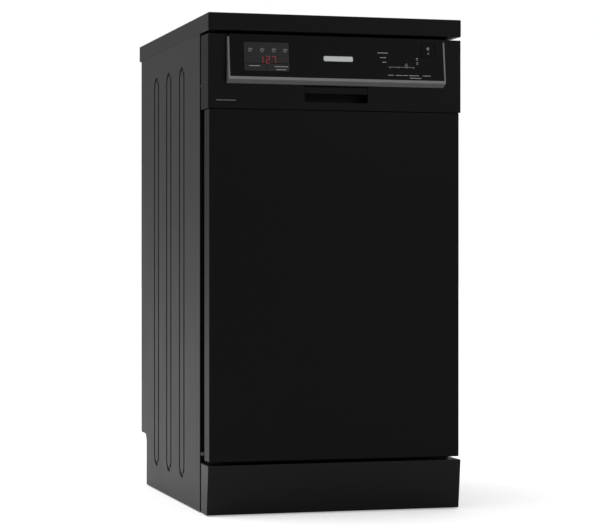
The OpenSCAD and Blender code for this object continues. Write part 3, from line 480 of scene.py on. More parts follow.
def finish(name, colour, roughness, metal=0.0, specular=0.5, drift=(0.1, 8.0), rub=(0.08, 14.0),
           grain=(900.0, 0.4), depth=0.00003, brushed=None, coat=0.0, dust=0.0, glow=0.0):
    """A procedural material built from the shared effects."""
    material = bpy.data.materials.new(name)
    material.use_nodes = True
    tree = material.node_tree
    shader = tree.nodes["Principled BSDF"]
    for socket, value in (("Metallic", metal), ("Specular IOR Level", specular),
                          ("Coat Weight", coat), ("Coat Roughness", 0.25)):
        shader.inputs[socket].default_value = value

    def effect(group, **values):
        node = tree.nodes.new("ShaderNodeGroup")
        node.node_tree = bpy.data.node_groups[group]
        for key, value in values.items():
            node.inputs[key].default_value = value
        return node

    shade = effect("Shade drift", Colour=(*colour, 1), Amount=drift[0], Scale=drift[1], Dust=dust)
    gloss = effect("Rubbed gloss", Roughness=roughness, Amount=rub[0], Scale=rub[1])
    if brushed:
        relief = effect("Brushed lines", Stretch=brushed)
    else:
        relief = effect("Surface grain", Scale=grain[0], Pits=grain[1])
    bump = add_node(tree, "Bump", inputs=[("Strength", 0.6), ("Distance", depth)])
    connect(
        tree,
        (shade, "Colour", shader, "Base Color"), (gloss, "Roughness", shader, "Roughness"),
        (relief, "Height", bump, "Height"), (bump, "Normal", shader, "Normal"))
    # Emission in the surface colour: a real light in the lit figures, painted light in the print.
    if glow:
        connect(tree, (shade, "Colour", shader, "Emission Color"))
        shader.inputs["Emission Strength"].default_value = glow
    return material


CARRIED = {
    "Painted steel front": ["front_frame"],
    "Painted steel side": ["rear_panel"],
    "Stainless sheet": ["tub", "filter_plate"],
    "Zinc steel": ["hinge_brackets", "door_hinge_arms", "cabinet_screws", "latch_hook",
                   "upper_rails"],
    "Grey plastic": ["sump", "circulation_pump", "drain_pump", "rail_guides", "drain_spigot",
                     "pump_impeller", "drain_impeller"],
    "Light plastic": ["softener_tank", "air_break_tank", "inlet_valve"],
    "Spray plastic": ["feed_pipe", "spray_manifold"],
    "Tray plastic": ["base_tray"],
    "Rubber": ["mains_gland", "door_springs"],
}


class APPLIANCE_OT_finishes(bpy.types.Operator):
    """Builds the finishes and gives the carried-over CAD nodes theirs"""
    bl_idname = "appliance.finishes"
    bl_label = "Finishes"

    def execute(self, context):
        for build in (build_shade_group, build_rub_group, build_grain_group, build_brushed_group):
            build()
        c = colours()
        finish("Painted steel front", c.front_black, 0.36, specular=0.10, drift=(0.06, 5.0),
               rub=(0.05, 9.0), grain=(520.0, 0.2), depth=0.00002, dust=0.02)
        finish("Painted steel side", c.side_black, 0.44, specular=0.30, drift=(0.08, 4.0),
               rub=(0.07, 7.0), grain=(640.0, 0.3), depth=0.00003, dust=0.02)
        finish("Worktop laminate", c.worktop_black, 0.46, specular=0.27, drift=(0.22, 60.0),
               rub=(0.09, 10.0), grain=(380.0, 0.8), depth=0.00007, dust=0.05)
        finish("Black moulding", c.moulded_black, 0.40, specular=0.11, drift=(0.07, 12.0),
               rub=(0.06, 16.0), grain=(1500.0, 0.7), depth=0.00003, dust=0.02)
        finish("Fascia moulding", c.moulded_black, 0.33, specular=0.07, drift=(0.05, 12.0),
               rub=(0.05, 20.0), grain=(1800.0, 0.6), depth=0.00001)
        finish("Kickboard moulding", c.moulded_black, 0.34, specular=0.18, drift=(0.07, 12.0),
               rub=(0.08, 9.0), grain=(1500.0, 0.7), depth=0.00003, dust=0.03)
        finish("Silver lacquer", c.silver, 0.42, metal=0.35, drift=(0.06, 30.0),
               rub=(0.08, 30.0), brushed=(14.0, 1600.0, 1600.0), depth=0.00002)
        finish("Smoked window", c.smoke, 0.30, specular=0.12, drift=(0.04, 20.0),
               rub=(0.05, 30.0), grain=(2000.0, 0.2), depth=0.000004, coat=0.15)
        finish("Lit figures", c.lit_red, 0.5, drift=(0.25, 500.0), glow=0.22)
        # The print glows a little: painted light, as the printed marks are no lamp.
        finish("Printed grey with painted glow", c.print_grey, 0.55, drift=(0.25, 700.0), glow=0.08)
        finish("Blank badge", c.badge, 0.34, metal=0.35, drift=(0.04, 60.0),
               brushed=(20.0, 1500.0, 1500.0), depth=0.00001)
        finish("Stainless sheet", c.stainless, 0.36, metal=1.0, drift=(0.05, 5.0),
               rub=(0.06, 5.0), brushed=(900.0, 900.0, 10.0), depth=0.000008)
        finish("Zinc steel", c.zinc, 0.42, metal=0.9, drift=(0.16, 45.0), rub=(0.15, 30.0),
               grain=(500.0, 0.6), depth=0.00002)
        finish("Rack coating", c.coating, 0.38, drift=(0.08, 50.0), rub=(0.08, 60.0),
               grain=(900.0, 0.2), depth=0.00002)
        finish("Grey plastic", c.grey_plastic, 0.5, drift=(0.08, 20.0), grain=(1200.0, 0.7))
        finish("Light plastic", c.light_plastic, 0.42, drift=(0.05, 16.0), grain=(1300.0, 0.5),
               depth=0.00002)
        finish("Spray plastic", c.spray_plastic, 0.44, drift=(0.06, 18.0), grain=(1300.0, 0.5),
               depth=0.00002)
        finish("Blue plastic", c.blue_plastic, 0.42, drift=(0.08, 25.0), grain=(1400.0, 0.5),
               depth=0.00002)
        finish("Tray plastic", c.tray_plastic, 0.58, drift=(0.15, 12.0), grain=(800.0, 0.8),
               depth=0.00005, dust=0.08)
        finish("Rubber", c.rubber, 0.68, specular=0.3, drift=(0.15, 40.0), grain=(700.0, 0.7),
               depth=0.00004, dust=0.04)
        # A lighter black than the laminate on the worktop's ends: painted light for the ends lit
        # from the side.
        finish("Worktop end painted light", c.side_black, 0.46, specular=0.26, drift=(0.08, 30.0),
               rub=(0.06, 12.0), grain=(500.0, 0.5), depth=0.00003)
        # Near-black and almost matte: painted shade in the gap between the door and the side
        # panels, on the trims and flange strips.
        finish("Painted gap shade", c.gap_shade_black, 0.8, specular=0.05, drift=(0.1, 40.0),
               grain=(700.0, 0.5), depth=0.00002)
        for name, nodes in CARRIED.items():
            for node in nodes:
                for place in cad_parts[node].material_slots:
                    place.material = bpy.data.materials[name]
        return {"FINISHED"}


# ---- Cabinet ----

class APPLIANCE_OT_worktop(bpy.types.Operator):
    """Laminate slab in its moulded edging, both with eased edges"""
    bl_idname = "appliance.worktop"
    bl_label = "Worktop"

    def execute(self, context):
        s = sizes()
        low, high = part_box("worktop_edging")
        board_low, board_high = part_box("worktop_board")
        wall = board_low.x - low.x
        edging = soften(ring_block(low, high, wall), s.worktop_round, 3)
        done(edging, "worktop_surround", "cabinet", "black_moulding", "Black moulding",
             "worktop_edging")
        # Both ends of the worktop get the lighter black: painted light on the lit ends of the one
        # laminate.
        ease, sunk, proud = s.worktop_round, 0.0002, 0.0001
        painted_light_end = soften(block((high.x - sunk, low.y + ease, low.z + ease),
                            (high.x + proud, high.y - ease, high.z - ease)), 0.00005, 1)
        done(mirrored(painted_light_end), "worktop_end_bands", "cabinet", "black_moulding", "Worktop end painted light")
        slab = block(board_low, board_high)
        edit(slab, "FACE", facing("+z"),
             inset(0.0012),
             move(0, 0, -0.0003))
        done(soften(slab, 0.0004), "worktop_slab", "cabinet", "worktop_laminate",
             "Worktop laminate", "worktop_board")
        return {"FINISHED"}


class APPLIANCE_OT_side_panels(bpy.types.Operator):
    """Ribbed side panels with folded edges"""
    bl_idname = "appliance.side_panels"
    bl_label = "Side panels"

    def execute(self, context):
        for side in ("left", "right"):
            rounded_node("side_panel_" + side, "side_skin_" + side, "cabinet", "black_steel",
                         "Painted steel side", 0.0005, 2, 30)
        # Thin near-black strips on the front flanges: a dark sheet painted as the shade in the gap
        # beside the door.
        low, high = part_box("side_panel_right")
        strip = soften(block((high.x - 0.0075, low.y - 0.0006, low.z + 0.085),
                             (high.x - 0.0006, low.y + 0.0001, high.z - 0.004)), 0.0002, 1)
        done(mirrored(strip), "flange_strips", "cabinet", "black_moulding", "Painted gap shade")
        return {"FINISHED"}


class APPLIANCE_OT_plinth(bpy.types.Operator):
    """Leaning kickboard, rounded on its corners"""
    bl_idname = "appliance.plinth"
    bl_label = "Plinth"

    def execute(self, context):
        rounded_node("plinth", "kickboard", "cabinet", "black_moulding", "Kickboard moulding",
                     sizes().moulding_round * 0.8, 3, 30)
        return {"FINISHED"}


class APPLIANCE_OT_feet(bpy.types.Operator):
    """Four levelling feet with a ribbed pad, a nut and a threaded stem"""
    bl_idname = "appliance.feet"
    bl_label = "Feet"

    def execute(self, context):
        pitch = 0.0015
        pad_top, nut_top, thread_start = 0.008, 0.0125, 0.0132
        for name in ("foot_front_left", "foot_front_right", "foot_rear_left", "foot_rear_right"):
            low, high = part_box(name)
            middle = (low + high) / 2
            radius = (high.x - low.x) / 2

            def stage(bottom, top, wide, sides):
                base = Vector((middle.x, middle.y, low.z))
                return rod(base + Vector((0, 0, bottom)), base + Vector((0, 0, top)), wide, sides)

            pad = stage(0, pad_top, radius, 36)
            edit(pad, "FACE", facing("+z"), inset(radius * 0.3), move(0, 0, 0.0012))
            edit(pad, "FACE", facing("-z"), inset(0.003), inset(0.004), move(0, 0, 0.0012))
            soften(pad, 0.0007)
            nut = soften(stage(0.0085, nut_top, 0.008, 6), 0.0004)
            stem = stage(0.011, high.z - low.z, 0.0034, 16)
            turns = int((high.z - low.z - 0.014) / pitch)
            thread = soften(stage(thread_start, 0.0141, 0.004, 16), 0.0003, 1)
            repeat(thread, turns, (0, 0, pitch))
            done(join(pad, nut, stem, thread), "levelling_" + name, name, "black_rubber",
                 "Rubber", name)
        return {"FINISHED"}


# ---- Door and controls ----

class APPLIANCE_OT_door_panel(bpy.types.Operator):
    """Folded door skin, hollow behind, with slots for the hinge plates"""
    bl_idname = "appliance.door_panel"
    bl_label = "Door panel"

    def execute(self, context):
        s = sizes()
        low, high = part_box("door_outer_panel")
        skin = block(low, high)
        edit(skin, "FACE", facing("+y"),
             inset(s.sheet),
             lambda: bpy.ops.mesh.extrude_region_move(
                 TRANSFORM_OT_translate={"value": (0, -(high.y - low.y - s.sheet), 0)}))
        edit(skin, "EDGE",
             lambda at, along: near(at.y, low.y) or (
                 abs(along.y) > 0.9 and near(abs(at.x), high.x)),
             bevel(s.door_round))
        plate_low, plate_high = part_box("door_hinge_arms")
        gap, plate_width, slot_height = 0.0015, 0.0085, 0.003
        for side in (-1, 1):
            x0, x1 = both_sides(side, plate_high.x, plate_high.x - plate_width)
            cut(skin, block((x0 - gap, plate_low.y - gap, low.z - gap),
                            (x1 + gap, high.y + gap, low.z + slot_height)))
        done(skin, "door_skin", "door", "black_steel", "Painted steel front", "door_outer_panel")
        return {"FINISHED"}


class APPLIANCE_OT_door_liner(bpy.types.Operator):
    """Pressed stainless liner with its bulge and stiffening panels"""
    bl_idname = "appliance.door_liner"
    bl_label = "Door liner"

    def execute(self, context):
        s = sizes()
        low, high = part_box("door_liner")
        hinge_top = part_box("door_springs")[0].z - 0.018
        plate_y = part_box("tub_gasket")[0].y - 0.0005
        plate = soften(block((low.x, low.y, hinge_top), (high.x, plate_y, high.z)), 0.003, 3)
        skirt = block((low.x, low.y, low.z), (high.x, low.y + 0.001, hinge_top + 0.002))
        inner = high.x - 0.022
        bulge = block((-inner, plate_y - 0.002, 0.190), (inner, high.y, high.z - 0.027))
        edit(bulge, "FACE", facing("+y"),
             resize(0.968, 1, 0.979))
        soften(bulge, 0.005, 3)
        body_low, body_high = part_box("dispenser_body")
        gap = 0.0005
        opening = ((body_low.x - gap, low.y + 0.0012, body_low.z - gap),
                   (body_high.x + gap, high.y + 0.01, body_high.z + gap))
        cut(plate, block(*opening))
        cut(bulge, block(*opening))
        half_wide, half_tall = 0.15, 0.055
        for z in (0.30, 0.65):
            press = block((-half_wide, high.y - 0.002, z - half_tall),
                          (half_wide, high.y + 0.0008, z + half_tall))
            bulge = join(bulge, soften(press, 0.0012))
        done(join(plate, skirt, bulge), "door_inner_shell", "door", "stainless",
             "Stainless sheet", "door_liner")
        # Trims beside the liner, near-black as painted shade in the gap between door and side
        # panel.
        edge = block((high.x, low.y + 0.001, hinge_top + 0.002),
                     (high.x + s.edge_trim, plate_y - 0.001, high.z - 0.003))
        done(mirrored(edge), "door_edge_trims", "door", "black_moulding", "Painted gap shade")
        return {"FINISHED"}


class APPLIANCE_OT_control_housing(bpy.types.Operator):
    """Control housing, raised fascia with its silver frame, and the pull handle"""
    bl_idname = "appliance.control_housing"
    bl_label = "Control housing"

    def execute(self, context):
        s = sizes()
        round_edge = s.moulding_round
        rounded_node("control_panel", "control_housing", "door", "black_moulding",
                     "Black moulding", round_edge * 0.7, 2)
        rounded_node("fascia_insert", "fascia_face", "door", "black_moulding",
                     "Fascia moulding", 0.0003, 2)
        low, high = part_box("silver_trim")
        trim = cut(merged_copy("silver_trim"),
                   block((low.x - 0.01, low.y - 0.01, high.z - s.trim_drop),
                         (high.x + 0.01, high.y + 0.01, high.z + 0.01)))
        done(soften(trim, 0.0007, 2, 20), "fascia_frame", "door", "silver_trim",
             "Silver lacquer", "silver_trim")
        rounded_node("handle_lever", "pull_lever", "handle_lever", "black_moulding",
                     "Black moulding", 0.0006, 2)
        return {"FINISHED"}


class APPLIANCE_OT_keys(bpy.types.Operator):
    """Display window and the keys"""
    bl_idname = "appliance.keys"
    bl_label = "Window and keys"

    def execute(self, context):
        rounded_node("display_window", "smoked_window", "door", "window_smoke",
                     "Smoked window", 0.0003)
        rounded_node("program_key", "program_button", "program_key", "window_smoke",
                     "Smoked window", 0.0004)
        rounded_node("start_key", "start_button", "start_key", "window_smoke",
                     "Smoked window", 0.0004)
        rounded_node("power_key", "power_button", "power_key", "black_moulding",
                     "Fascia moulding", 0.0005)
        return {"FINISHED"}


def on_fascia(piece):
    """Moves a piece made flat at the origin on to the leaning fascia."""
    low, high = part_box("fascia_insert")
    lean = math.atan(sizes().fascia_lean / (high.z - low.z))
    piece.rotation_euler = (-lean, 0, 0)
    piece.location = (0, low.y, low.z)
    return settle(piece)


def bar(x0, x1, z0, z1, front):
    """A flat printed bar in millimetres on the fascia."""
    depth = sizes().print_depth
    return block((x0 * MM, front - depth, z0 * MM), (x1 * MM, front + 0.0003, z1 * MM))


SEGMENTS = {1: "bc", 2: "abged", 7: "abc"}


def lit_figure(value, x, z, width, height, front):
    """One seven-segment figure."""
    stroke, end, split = 1.1, 0.8, 0.4
    half = height / 2
    spots = {
        "a": (x + end, x + width - end, z + height - stroke, z + height),
        "b": (x + width - stroke, x + width, z + half + split, z + height - end),
        "c": (x + width - stroke, x + width, z + end, z + half - split),
        "d": (x + end, x + width - end, z, z + stroke),
        "e": (x, x + stroke, z + end, z + half - split),
        "g": (x + end, x + width - end, z + half - stroke / 2, z + half + stroke / 2),
    }
    return [bar(*spots[key], front) for key in SEGMENTS[value]]


class APPLIANCE_OT_panel_marks(bpy.types.Operator):
    """Lit figures, ring icons, label lines and the blank badge on the fascia"""
    bl_idname = "appliance.panel_marks"
    bl_label = "Panel marks"

    def execute(self, context):
        s = sizes()
        glass = 0.0002
        height = s.digit_height / MM
        figures = []
        for value, x in ((1, -139.5), (2, -127.6), (7, -117.2)):
            figures += lit_figure(value, x, 23, 7.4, height, glass)
        done(on_fascia(join(*figures)), "display_figures", "door", "window_smoke", "Lit figures")
        marks = []
        for x in (-154.7, -134, -113.4, -93.6):
            marks += [flat_ring(s.icon_radius, 0.0003, (x * MM, glass, 0.0459)),
                      bar(x - 0.3, x + 0.3, 46.2, 49.4, glass),
                      bar(x + 2.4, x + 4.6, 47.6, 48.2, glass)]
        done(on_fascia(join(*marks)), "ring_icons", "door", "window_smoke", "Printed grey with painted glow")
        for name, body, rows in (
                ("program_label", "program_key", [(-157, -138, 18.2, 19.2)]),
                ("start_label", "start_key",
                 [(-112.4, -88.6, 17.6, 18.6), (-110, -92, 12.4, 13.4)])):
            lines = [bar(*row, glass) for row in rows]
            done(on_fascia(join(*lines)), name, body, "window_smoke", "Printed grey with painted glow")
        lines = []
        for x0, x1, z in ((70.7, 89.2, 46.2), (75, 86, 38), (79, 86, 30)):
            lines.append(bar(x0, x1, z, z + 1.1, 0))
        lines.append(bar(89.6, 136.5, 22.2, 22.7, 0))
        for x0, x1 in ((87.8, 98.4), (102.4, 113.5), (115.3, 124), (126.5, 143.9), (150.8, 165.3)):
            lines.append(bar(x0, x1, 7.6, 8.6, 0))
        lines.append(bar(127.5, 147.9, 3.2, 4.2, 0))
        for x in (93, 107.5, 121.8, 135.5):
            lines.append(bar(x - 0.3, x + 0.3, 20.4, 22.2, 0))
        for x, z in ((141.9, 29.8), (141.9, 37.3)):
            lines += [bar(x - 1.8, x + 1.8, z - 1.7, z - 1.1, 0),
                      bar(x - 1.8, x + 1.8, z + 1.1, z + 1.7, 0),
                      bar(x - 0.3, x + 0.3, z - 1.1, z + 1.1, 0)]
        deselect()
        bpy.ops.mesh.primitive_cylinder_add(
            vertices=3, radius=0.0034, depth=0.0004, location=(0.1218, 0, 0.0262),
            rotation=UPRIGHT)
        pointer = settle(bpy.context.object)
        edit(pointer, "FACE", facing("y"),
             inset(0.0005),
             bpy.ops.mesh.bridge_edge_loops)
        done(on_fascia(join(pointer, *lines)), "scale_marks", "door", "black_moulding",
             "Printed grey with painted glow")
        ring = flat_ring(0.0019, 0.0005, (0.1627, 0, 0.0560))
        lines = [bar(*row, 0) for row in (
            (162.4, 163, 56.2, 59.2), (161, 164.4, 47, 47.6), (162.4, 163, 46, 50))]
        done(on_fascia(join(ring, *lines)), "power_marks", "power_key", "black_moulding",
             "Printed grey with painted glow")
        plate = block((-0.026, -0.0011, 0.0295), (0.026, 0.0002, 0.0383))
        edit(plate, "EDGE", lambda at, along: abs(along.y) > 0.9,
             bevel(0.0025))
        edit(plate, "FACE", facing("-y"),
             inset(0.0007),
             move(0, 0.0003, 0))
        done(on_fascia(plate), "blank_badge", "door", "silver_trim", "Blank badge")
        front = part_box("control_panel")[0].y
        mark = soften(block((-0.211, front - 0.0001, 0.7019), (-0.177, front + 0.0004, 0.7033)),
                      0.00005, 1)
        done(mark, "plain_strip", "door", "black_moulding", "Grey plastic")
        return {"FINISHED"}


class APPLIANCE_OT_dispenser(bpy.types.Operator):
    """Detergent dispenser, its sliding lid and the rinse aid cap"""
    bl_idname = "appliance.dispenser"
    bl_label = "Dispenser"

    def execute(self, context):
        rounded_node("dispenser_body", "dispenser_shell", "door", "light_plastic",
                     "Light plastic", 0.0008)
        rounded_node("dispenser_lid", "dispenser_cover", "dispenser_lid", "light_plastic",
                     "Light plastic", 0.0007)
        low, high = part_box("rinse_cap")
        middle = (low + high) / 2
        radius = (high.x - low.x) / 2
        at = Vector((middle.x, high.y - 0.0042, middle.z))
        plug_radius, half_grip, grip_reach = 0.0099, 0.002, 0.011
        flange = rod(at, at + Vector((0, 0.0023, 0)), radius, 40)
        soften(flange, 0.0006)
        plug = rod((middle.x, low.y, middle.z), at + Vector((0, 0.001, 0)), plug_radius, 32)
        grip = soften(block((middle.x - grip_reach, at.y + 0.0018, middle.z - half_grip),
                            (middle.x + grip_reach, high.y, middle.z + half_grip)), 0.0009, 3)
        bead = 0.0006
        knurl = []
        for x, z in circle_spots(20, radius - bead):
            spot = Vector((middle.x + x, at.y + 0.0003, middle.z + z))
            knurl.append(rod(spot, spot + Vector((0, 0.0016, 0)), bead, 6))
        done(join(flange, plug, grip, *knurl), "rinse_aid_cap", "rinse_cap", "blue_plastic",
             "Blue plastic", "rinse_cap")
        return {"FINISHED"}


# ---- Inside ----

class APPLIANCE_OT_tub_details(bpy.types.Operator):
    """Pressed panels on the tub walls, and the door gasket"""
    bl_idname = "appliance.tub_details"
    bl_label = "Tub details"

    def execute(self, context):
        wall, proud = 0.0012, 0.0004
        inner_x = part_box("rail_guides")[1].x
        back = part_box("tub")[1].y - wall + proud
        presses = []
        for x0, x1 in ((-0.17, -0.03), (0.03, 0.17)):
            for z0, z1 in ((0.24, 0.45), (0.60, 0.75)):
                presses.append(block((x0, back - 0.0016, z0), (x1, back, z1)))
        for side in (-1, 1):
            x0, x1 = both_sides(side, inner_x + 0.0003, inner_x - 0.0015)
            for z0, z1 in ((0.25, 0.47), (0.62, 0.75)):
                presses.append(block((x0, -0.13, z0), (x1, 0.20, z1)))
        for press in presses:
            soften(press, 0.0012)
        done(join(*presses), "pressed_wall_panels", "cabinet", "stainless", "Stainless sheet")
        rounded_node("tub_gasket", "door_gasket", "cabinet", "black_rubber", "Rubber", 0.002, 3)
        return {"FINISHED"}


RACK_DEPTH = 0.1    # from the rim wire down to the floor wires
TINE_MARGIN = 0.04  # from an end of a rack to its first tine


def rack_wires(half_x, front, rear, floor, top):
    """Bent wires each way with two rims."""
    s = sizes()
    count, radius, bend, margin = s.rack_wires, s.wire / 2, s.wire_bend, s.wire
    left, right = -half_x + margin, half_x - margin
    long_wire = bent_wire("YZ", (left, front + margin, floor), (left, rear - margin, top),
                          bend, radius, open_top=True)
    repeat(long_wire, count, ((right - left) / (count - 1), 0, 0))
    cross_wire = bent_wire("XZ", (left, front + margin, floor + radius),
                           (right, front + margin, top), bend, radius, open_top=True)
    repeat(cross_wire, count, (0, (rear - front - 2 * margin) / (count - 1), 0))
    rims = [bent_wire("XY", (-half_x + radius, front + radius, z),
                      (half_x - radius, rear - radius, z), bend, radius)
            for z in (top, floor + (top - floor) * 0.45)]
    return [long_wire, cross_wire, *rims]


def tine_pitch(front, rear):
    return (rear - front - 2 * TINE_MARGIN) / (sizes().rack_wires - 1)


def tine_row(x, front, rear, low, high, radius):
    """A row of upright tines with rounded tips."""
    first = front + TINE_MARGIN
    tine = soften(rod((x, first, low), (x, first, high), radius, 10), radius * 0.6)
    return repeat(tine, sizes().rack_wires, (0, tine_pitch(front, rear), 0))


def fixed_row(x, front, rear, floor, height):
    """A row of tines and the wire that they stand on."""
    radius, base = sizes().wire / 2, floor + 0.005
    return [tine_row(x, front, rear, floor, floor + height, radius),
            rod((x, front + 0.002, base), (x, rear - 0.002, base), radius, 8)]


def clips(front, rear, x0, x1, z0, z1):
    """Two moulded clips that hold a pivot rod."""
    first, pitch = front + TINE_MARGIN, tine_pitch(front, rear)
    return [soften(block((x0, y - 0.004, z0), (x1, y + 0.004, z1)), 0.0012)
            for y in (first + 0.5 * pitch, first + 7.5 * pitch)]


class APPLIANCE_OT_lower_rack(bpy.types.Operator):
    """Lower rack of bent coated wire, its tines, wheel brackets and fold-down row"""
    bl_idname = "appliance.lower_rack"
    bl_label = "Lower rack"

    def execute(self, context):
        s = sizes()
        low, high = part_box("lower_rack")
        tines_low, tines_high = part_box("fold_tines")
        half_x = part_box("tub_gasket")[1].x - 0.023
        front, rear = low.y, high.y
        top = high.z - s.wire / 2
        floor = top - RACK_DEPTH
        fold_x = (tines_low.x + tines_high.x) / 2
        pieces = rack_wires(half_x, front, rear, floor, top)
        pieces += fixed_row(0.020, front, rear, floor, 0.08)
        pieces += clips(front, rear, fold_x - 0.0045, fold_x + 0.0045, floor, floor + 0.0145)
        done(join(*pieces), "lower_rack_wires", "lower_rack", "rack_coating", "Rack coating",
             "lower_rack")
        brackets = []
        for node in ("lower_wheels_front", "lower_wheels_rear"):
            wheel_low, wheel_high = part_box(node)
            y = (wheel_low.y + wheel_high.y) / 2
            z = (wheel_low.z + wheel_high.z) / 2

            def axle(start, end, radius):
                return rod((side * start, y, z), (side * end, y, z), radius, 16)

            for side in (-1, 1):
                x0, x1 = both_sides(side, half_x - 0.010, half_x - 0.0045)
                plate = block((x0, y - 0.011, z - 0.006), (x1, y + 0.011, floor + 0.047))
                edit(plate, "FACE", facing("+z"), resize(1, 0.62, 1))
                face = wheel_high.x
                brackets += [soften(plate, 0.0014, 3), axle(half_x - 0.008, face + 0.0012, 0.0029),
                             soften(axle(face + 0.0002, face + 0.0016, 0.0045), 0.0004)]
        done(join(*brackets), "wheel_brackets", "lower_rack", "grey_plastic", "Grey plastic")
        pivot_z = tines_low.z + 0.002
        fold = tine_row(fold_x, front, rear, pivot_z - 0.001, tines_high.z, 0.0019)
        pivot = soften(rod((fold_x, tines_low.y, pivot_z), (fold_x, tines_high.y, pivot_z),
                           0.002, 12), 0.0005)
        done(join(fold, pivot), "folding_tine_row", "fold_tines", "rack_coating", "Rack coating",
             "fold_tines")
        return {"FINISHED"}


class APPLIANCE_OT_upper_rack(bpy.types.Operator):
    """Upper rack of bent coated wire, two tine rows, roller arms and the cup shelf"""
    bl_idname = "appliance.upper_rack"
    bl_label = "Upper rack"

    def execute(self, context):
        s = sizes()
        low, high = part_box("upper_rack")
        shelf_low, shelf_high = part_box("cup_shelf")
        half_x = 0.180
        front, rear = low.y, high.y
        top = high.z - s.wire / 2
        floor = top - RACK_DEPTH
        pieces = rack_wires(half_x, front, rear, floor, top)
        for x in (-0.054, 0.0684):
            pieces += fixed_row(x, front, rear, floor, 0.05)
        pivot_x = shelf_low.x + 0.002
        shelf_z = floor + 0.065
        pieces += clips(front, rear, pivot_x - 0.008, pivot_x + 0.0042,
                        shelf_z - 0.005, shelf_z + 0.0045)
        done(join(*pieces), "upper_rack_wires", "upper_rack", "rack_coating", "Rack coating",
             "upper_rack")
        arms = []
        for node in ("upper_wheels_front", "upper_wheels_rear"):
            wheel_low, wheel_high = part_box(node)
            y = (wheel_low.y + wheel_high.y) / 2
            z = (wheel_low.z + wheel_high.z) / 2
            for side in (-1, 1):
                x0, x1 = both_sides(side, half_x - 0.0045, half_x + 0.003)
                arm = block((x0, y - 0.011, z - 0.009), (x1, y + 0.011, z + 0.009))
                arms += [soften(arm, 0.002, 3),
                         rod((side * half_x, y, z), (side * (wheel_high.x - 0.0005), y, z),
                             0.0019, 12)]
        done(join(*arms), "roller_arms", "upper_rack", "grey_plastic", "Grey plastic")
        pivot = rod((pivot_x, shelf_low.y, shelf_z), (pivot_x, shelf_high.y, shelf_z), 0.002, 12)
        ribs, gauge = 9, 0.0015
        y0, y1 = front + 0.044, rear - 0.044
        rib = rod((pivot_x, y0 + gauge, shelf_z), (shelf_high.x - 0.002, y0 + gauge, shelf_z),
                  gauge, 8)
        repeat(rib, ribs, (0, (y1 - y0 - 2 * gauge) / (ribs - 1), 0))
        lip = soften(block((shelf_high.x - 0.004, y0 - 0.002, shelf_z - 0.001),
                           (shelf_high.x, y1 + 0.002, shelf_z + 0.003)), 0.0009)
        done(join(pivot, rib, lip), "folding_cup_shelf", "cup_shelf", "rack_coating",
             "Rack coating", "cup_shelf")
        return {"FINISHED"}


class APPLIANCE_OT_wheels(bpy.types.Operator):
    """Rack wheels with a recessed web and lightening holes"""
    bl_idname = "appliance.wheels"
    bl_label = "Rack wheels"

    def execute(self, context):
        for node in ("lower_wheels_front", "lower_wheels_rear", "upper_wheels_front",
                     "upper_wheels_rear"):
            low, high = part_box(node)
            y, z = (low.y + high.y) / 2, (low.z + high.z) / 2
            radius = (high.z - low.z) / 2
            width = 0.008 if radius > 0.010 else 0.005  # lower wheels, upper wheels
            wheel = rod((high.x - width, y, z), (high.x, y, z), radius, 36)

            def on_hub(at, normal):
                return abs(normal.x) > 0.99 and math.hypot(at.y - y, at.z - z) < radius * 0.4

            edit(wheel, "FACE", facing("x"), inset(radius * 0.24), resize(0.45, 1, 1))
            edit(wheel, "FACE", on_hub, inset(radius * 0.38), resize(2.0, 1, 1))
            soften(wheel, radius * 0.04, 2, 30)
            holes = []
            for hole_y, hole_z in circle_spots(5, radius * 0.56):
                spot = Vector((high.x - 2 * width, y + hole_y, z + hole_z))
                holes.append(rod(spot, spot + Vector((3 * width, 0, 0)), radius * 0.11, 12))
            cut(wheel, *holes)
            done(mirrored(wheel), node.replace("wheels", "rollers"), node, "grey_plastic",
                 "Grey plastic", node)
        return {"FINISHED"}


class APPLIANCE_OT_basket(bpy.types.Operator):
    """Cutlery basket with lattice walls, a closed floor and a rounded rim"""
    bl_idname = "appliance.basket"
    bl_label = "Cutlery basket"

    def execute(self, context):
        low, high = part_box("cutlery_basket")
        cell = sizes().basket_cell
        wall = 0.002
        size = high - low
        skin = 0.0009

        def lattice(centre, across, tall, turn):
            deselect()
            bpy.ops.mesh.primitive_grid_add(
                x_subdivisions=max(2, round(across / cell)), y_subdivisions=round(tall / cell),
                size=1, location=centre, rotation=turn)
            grid = bpy.context.object
            grid.scale = (across, tall, 1)
            settle(grid)
            return apply_modifier(grid, "WIREFRAME", thickness=2 * skin, use_even_offset=True)

        middle = (low + high) / 2
        sideways = (math.pi / 2, 0, math.pi / 2)
        pieces = []
        bays = 3
        pitch = (size.y - wall) / bays
        for step in range(bays + 1):
            y = low.y + wall / 2 + step * pitch
            pieces.append(lattice((middle.x, y, middle.z), size.x - wall, size.z - wall, UPRIGHT))
        for x in (low.x + wall / 2, high.x - wall / 2):
            pieces.append(lattice((x, middle.y, middle.z), size.y - wall, size.z - wall, sideways))
        floor = block((low.x, low.y, low.z), (high.x, high.y, low.z + wall))
        pieces.append(soften(floor, 0.0008))
        rim = ring_block((low.x, low.y, high.z - 0.006), high, wall)
        pieces.append(soften(rim, 0.0007))
        done(join(*pieces), "lattice_cutlery_basket", "lower_rack", "grey_plastic",
             "Grey plastic", "cutlery_basket")
        return {"FINISHED"}


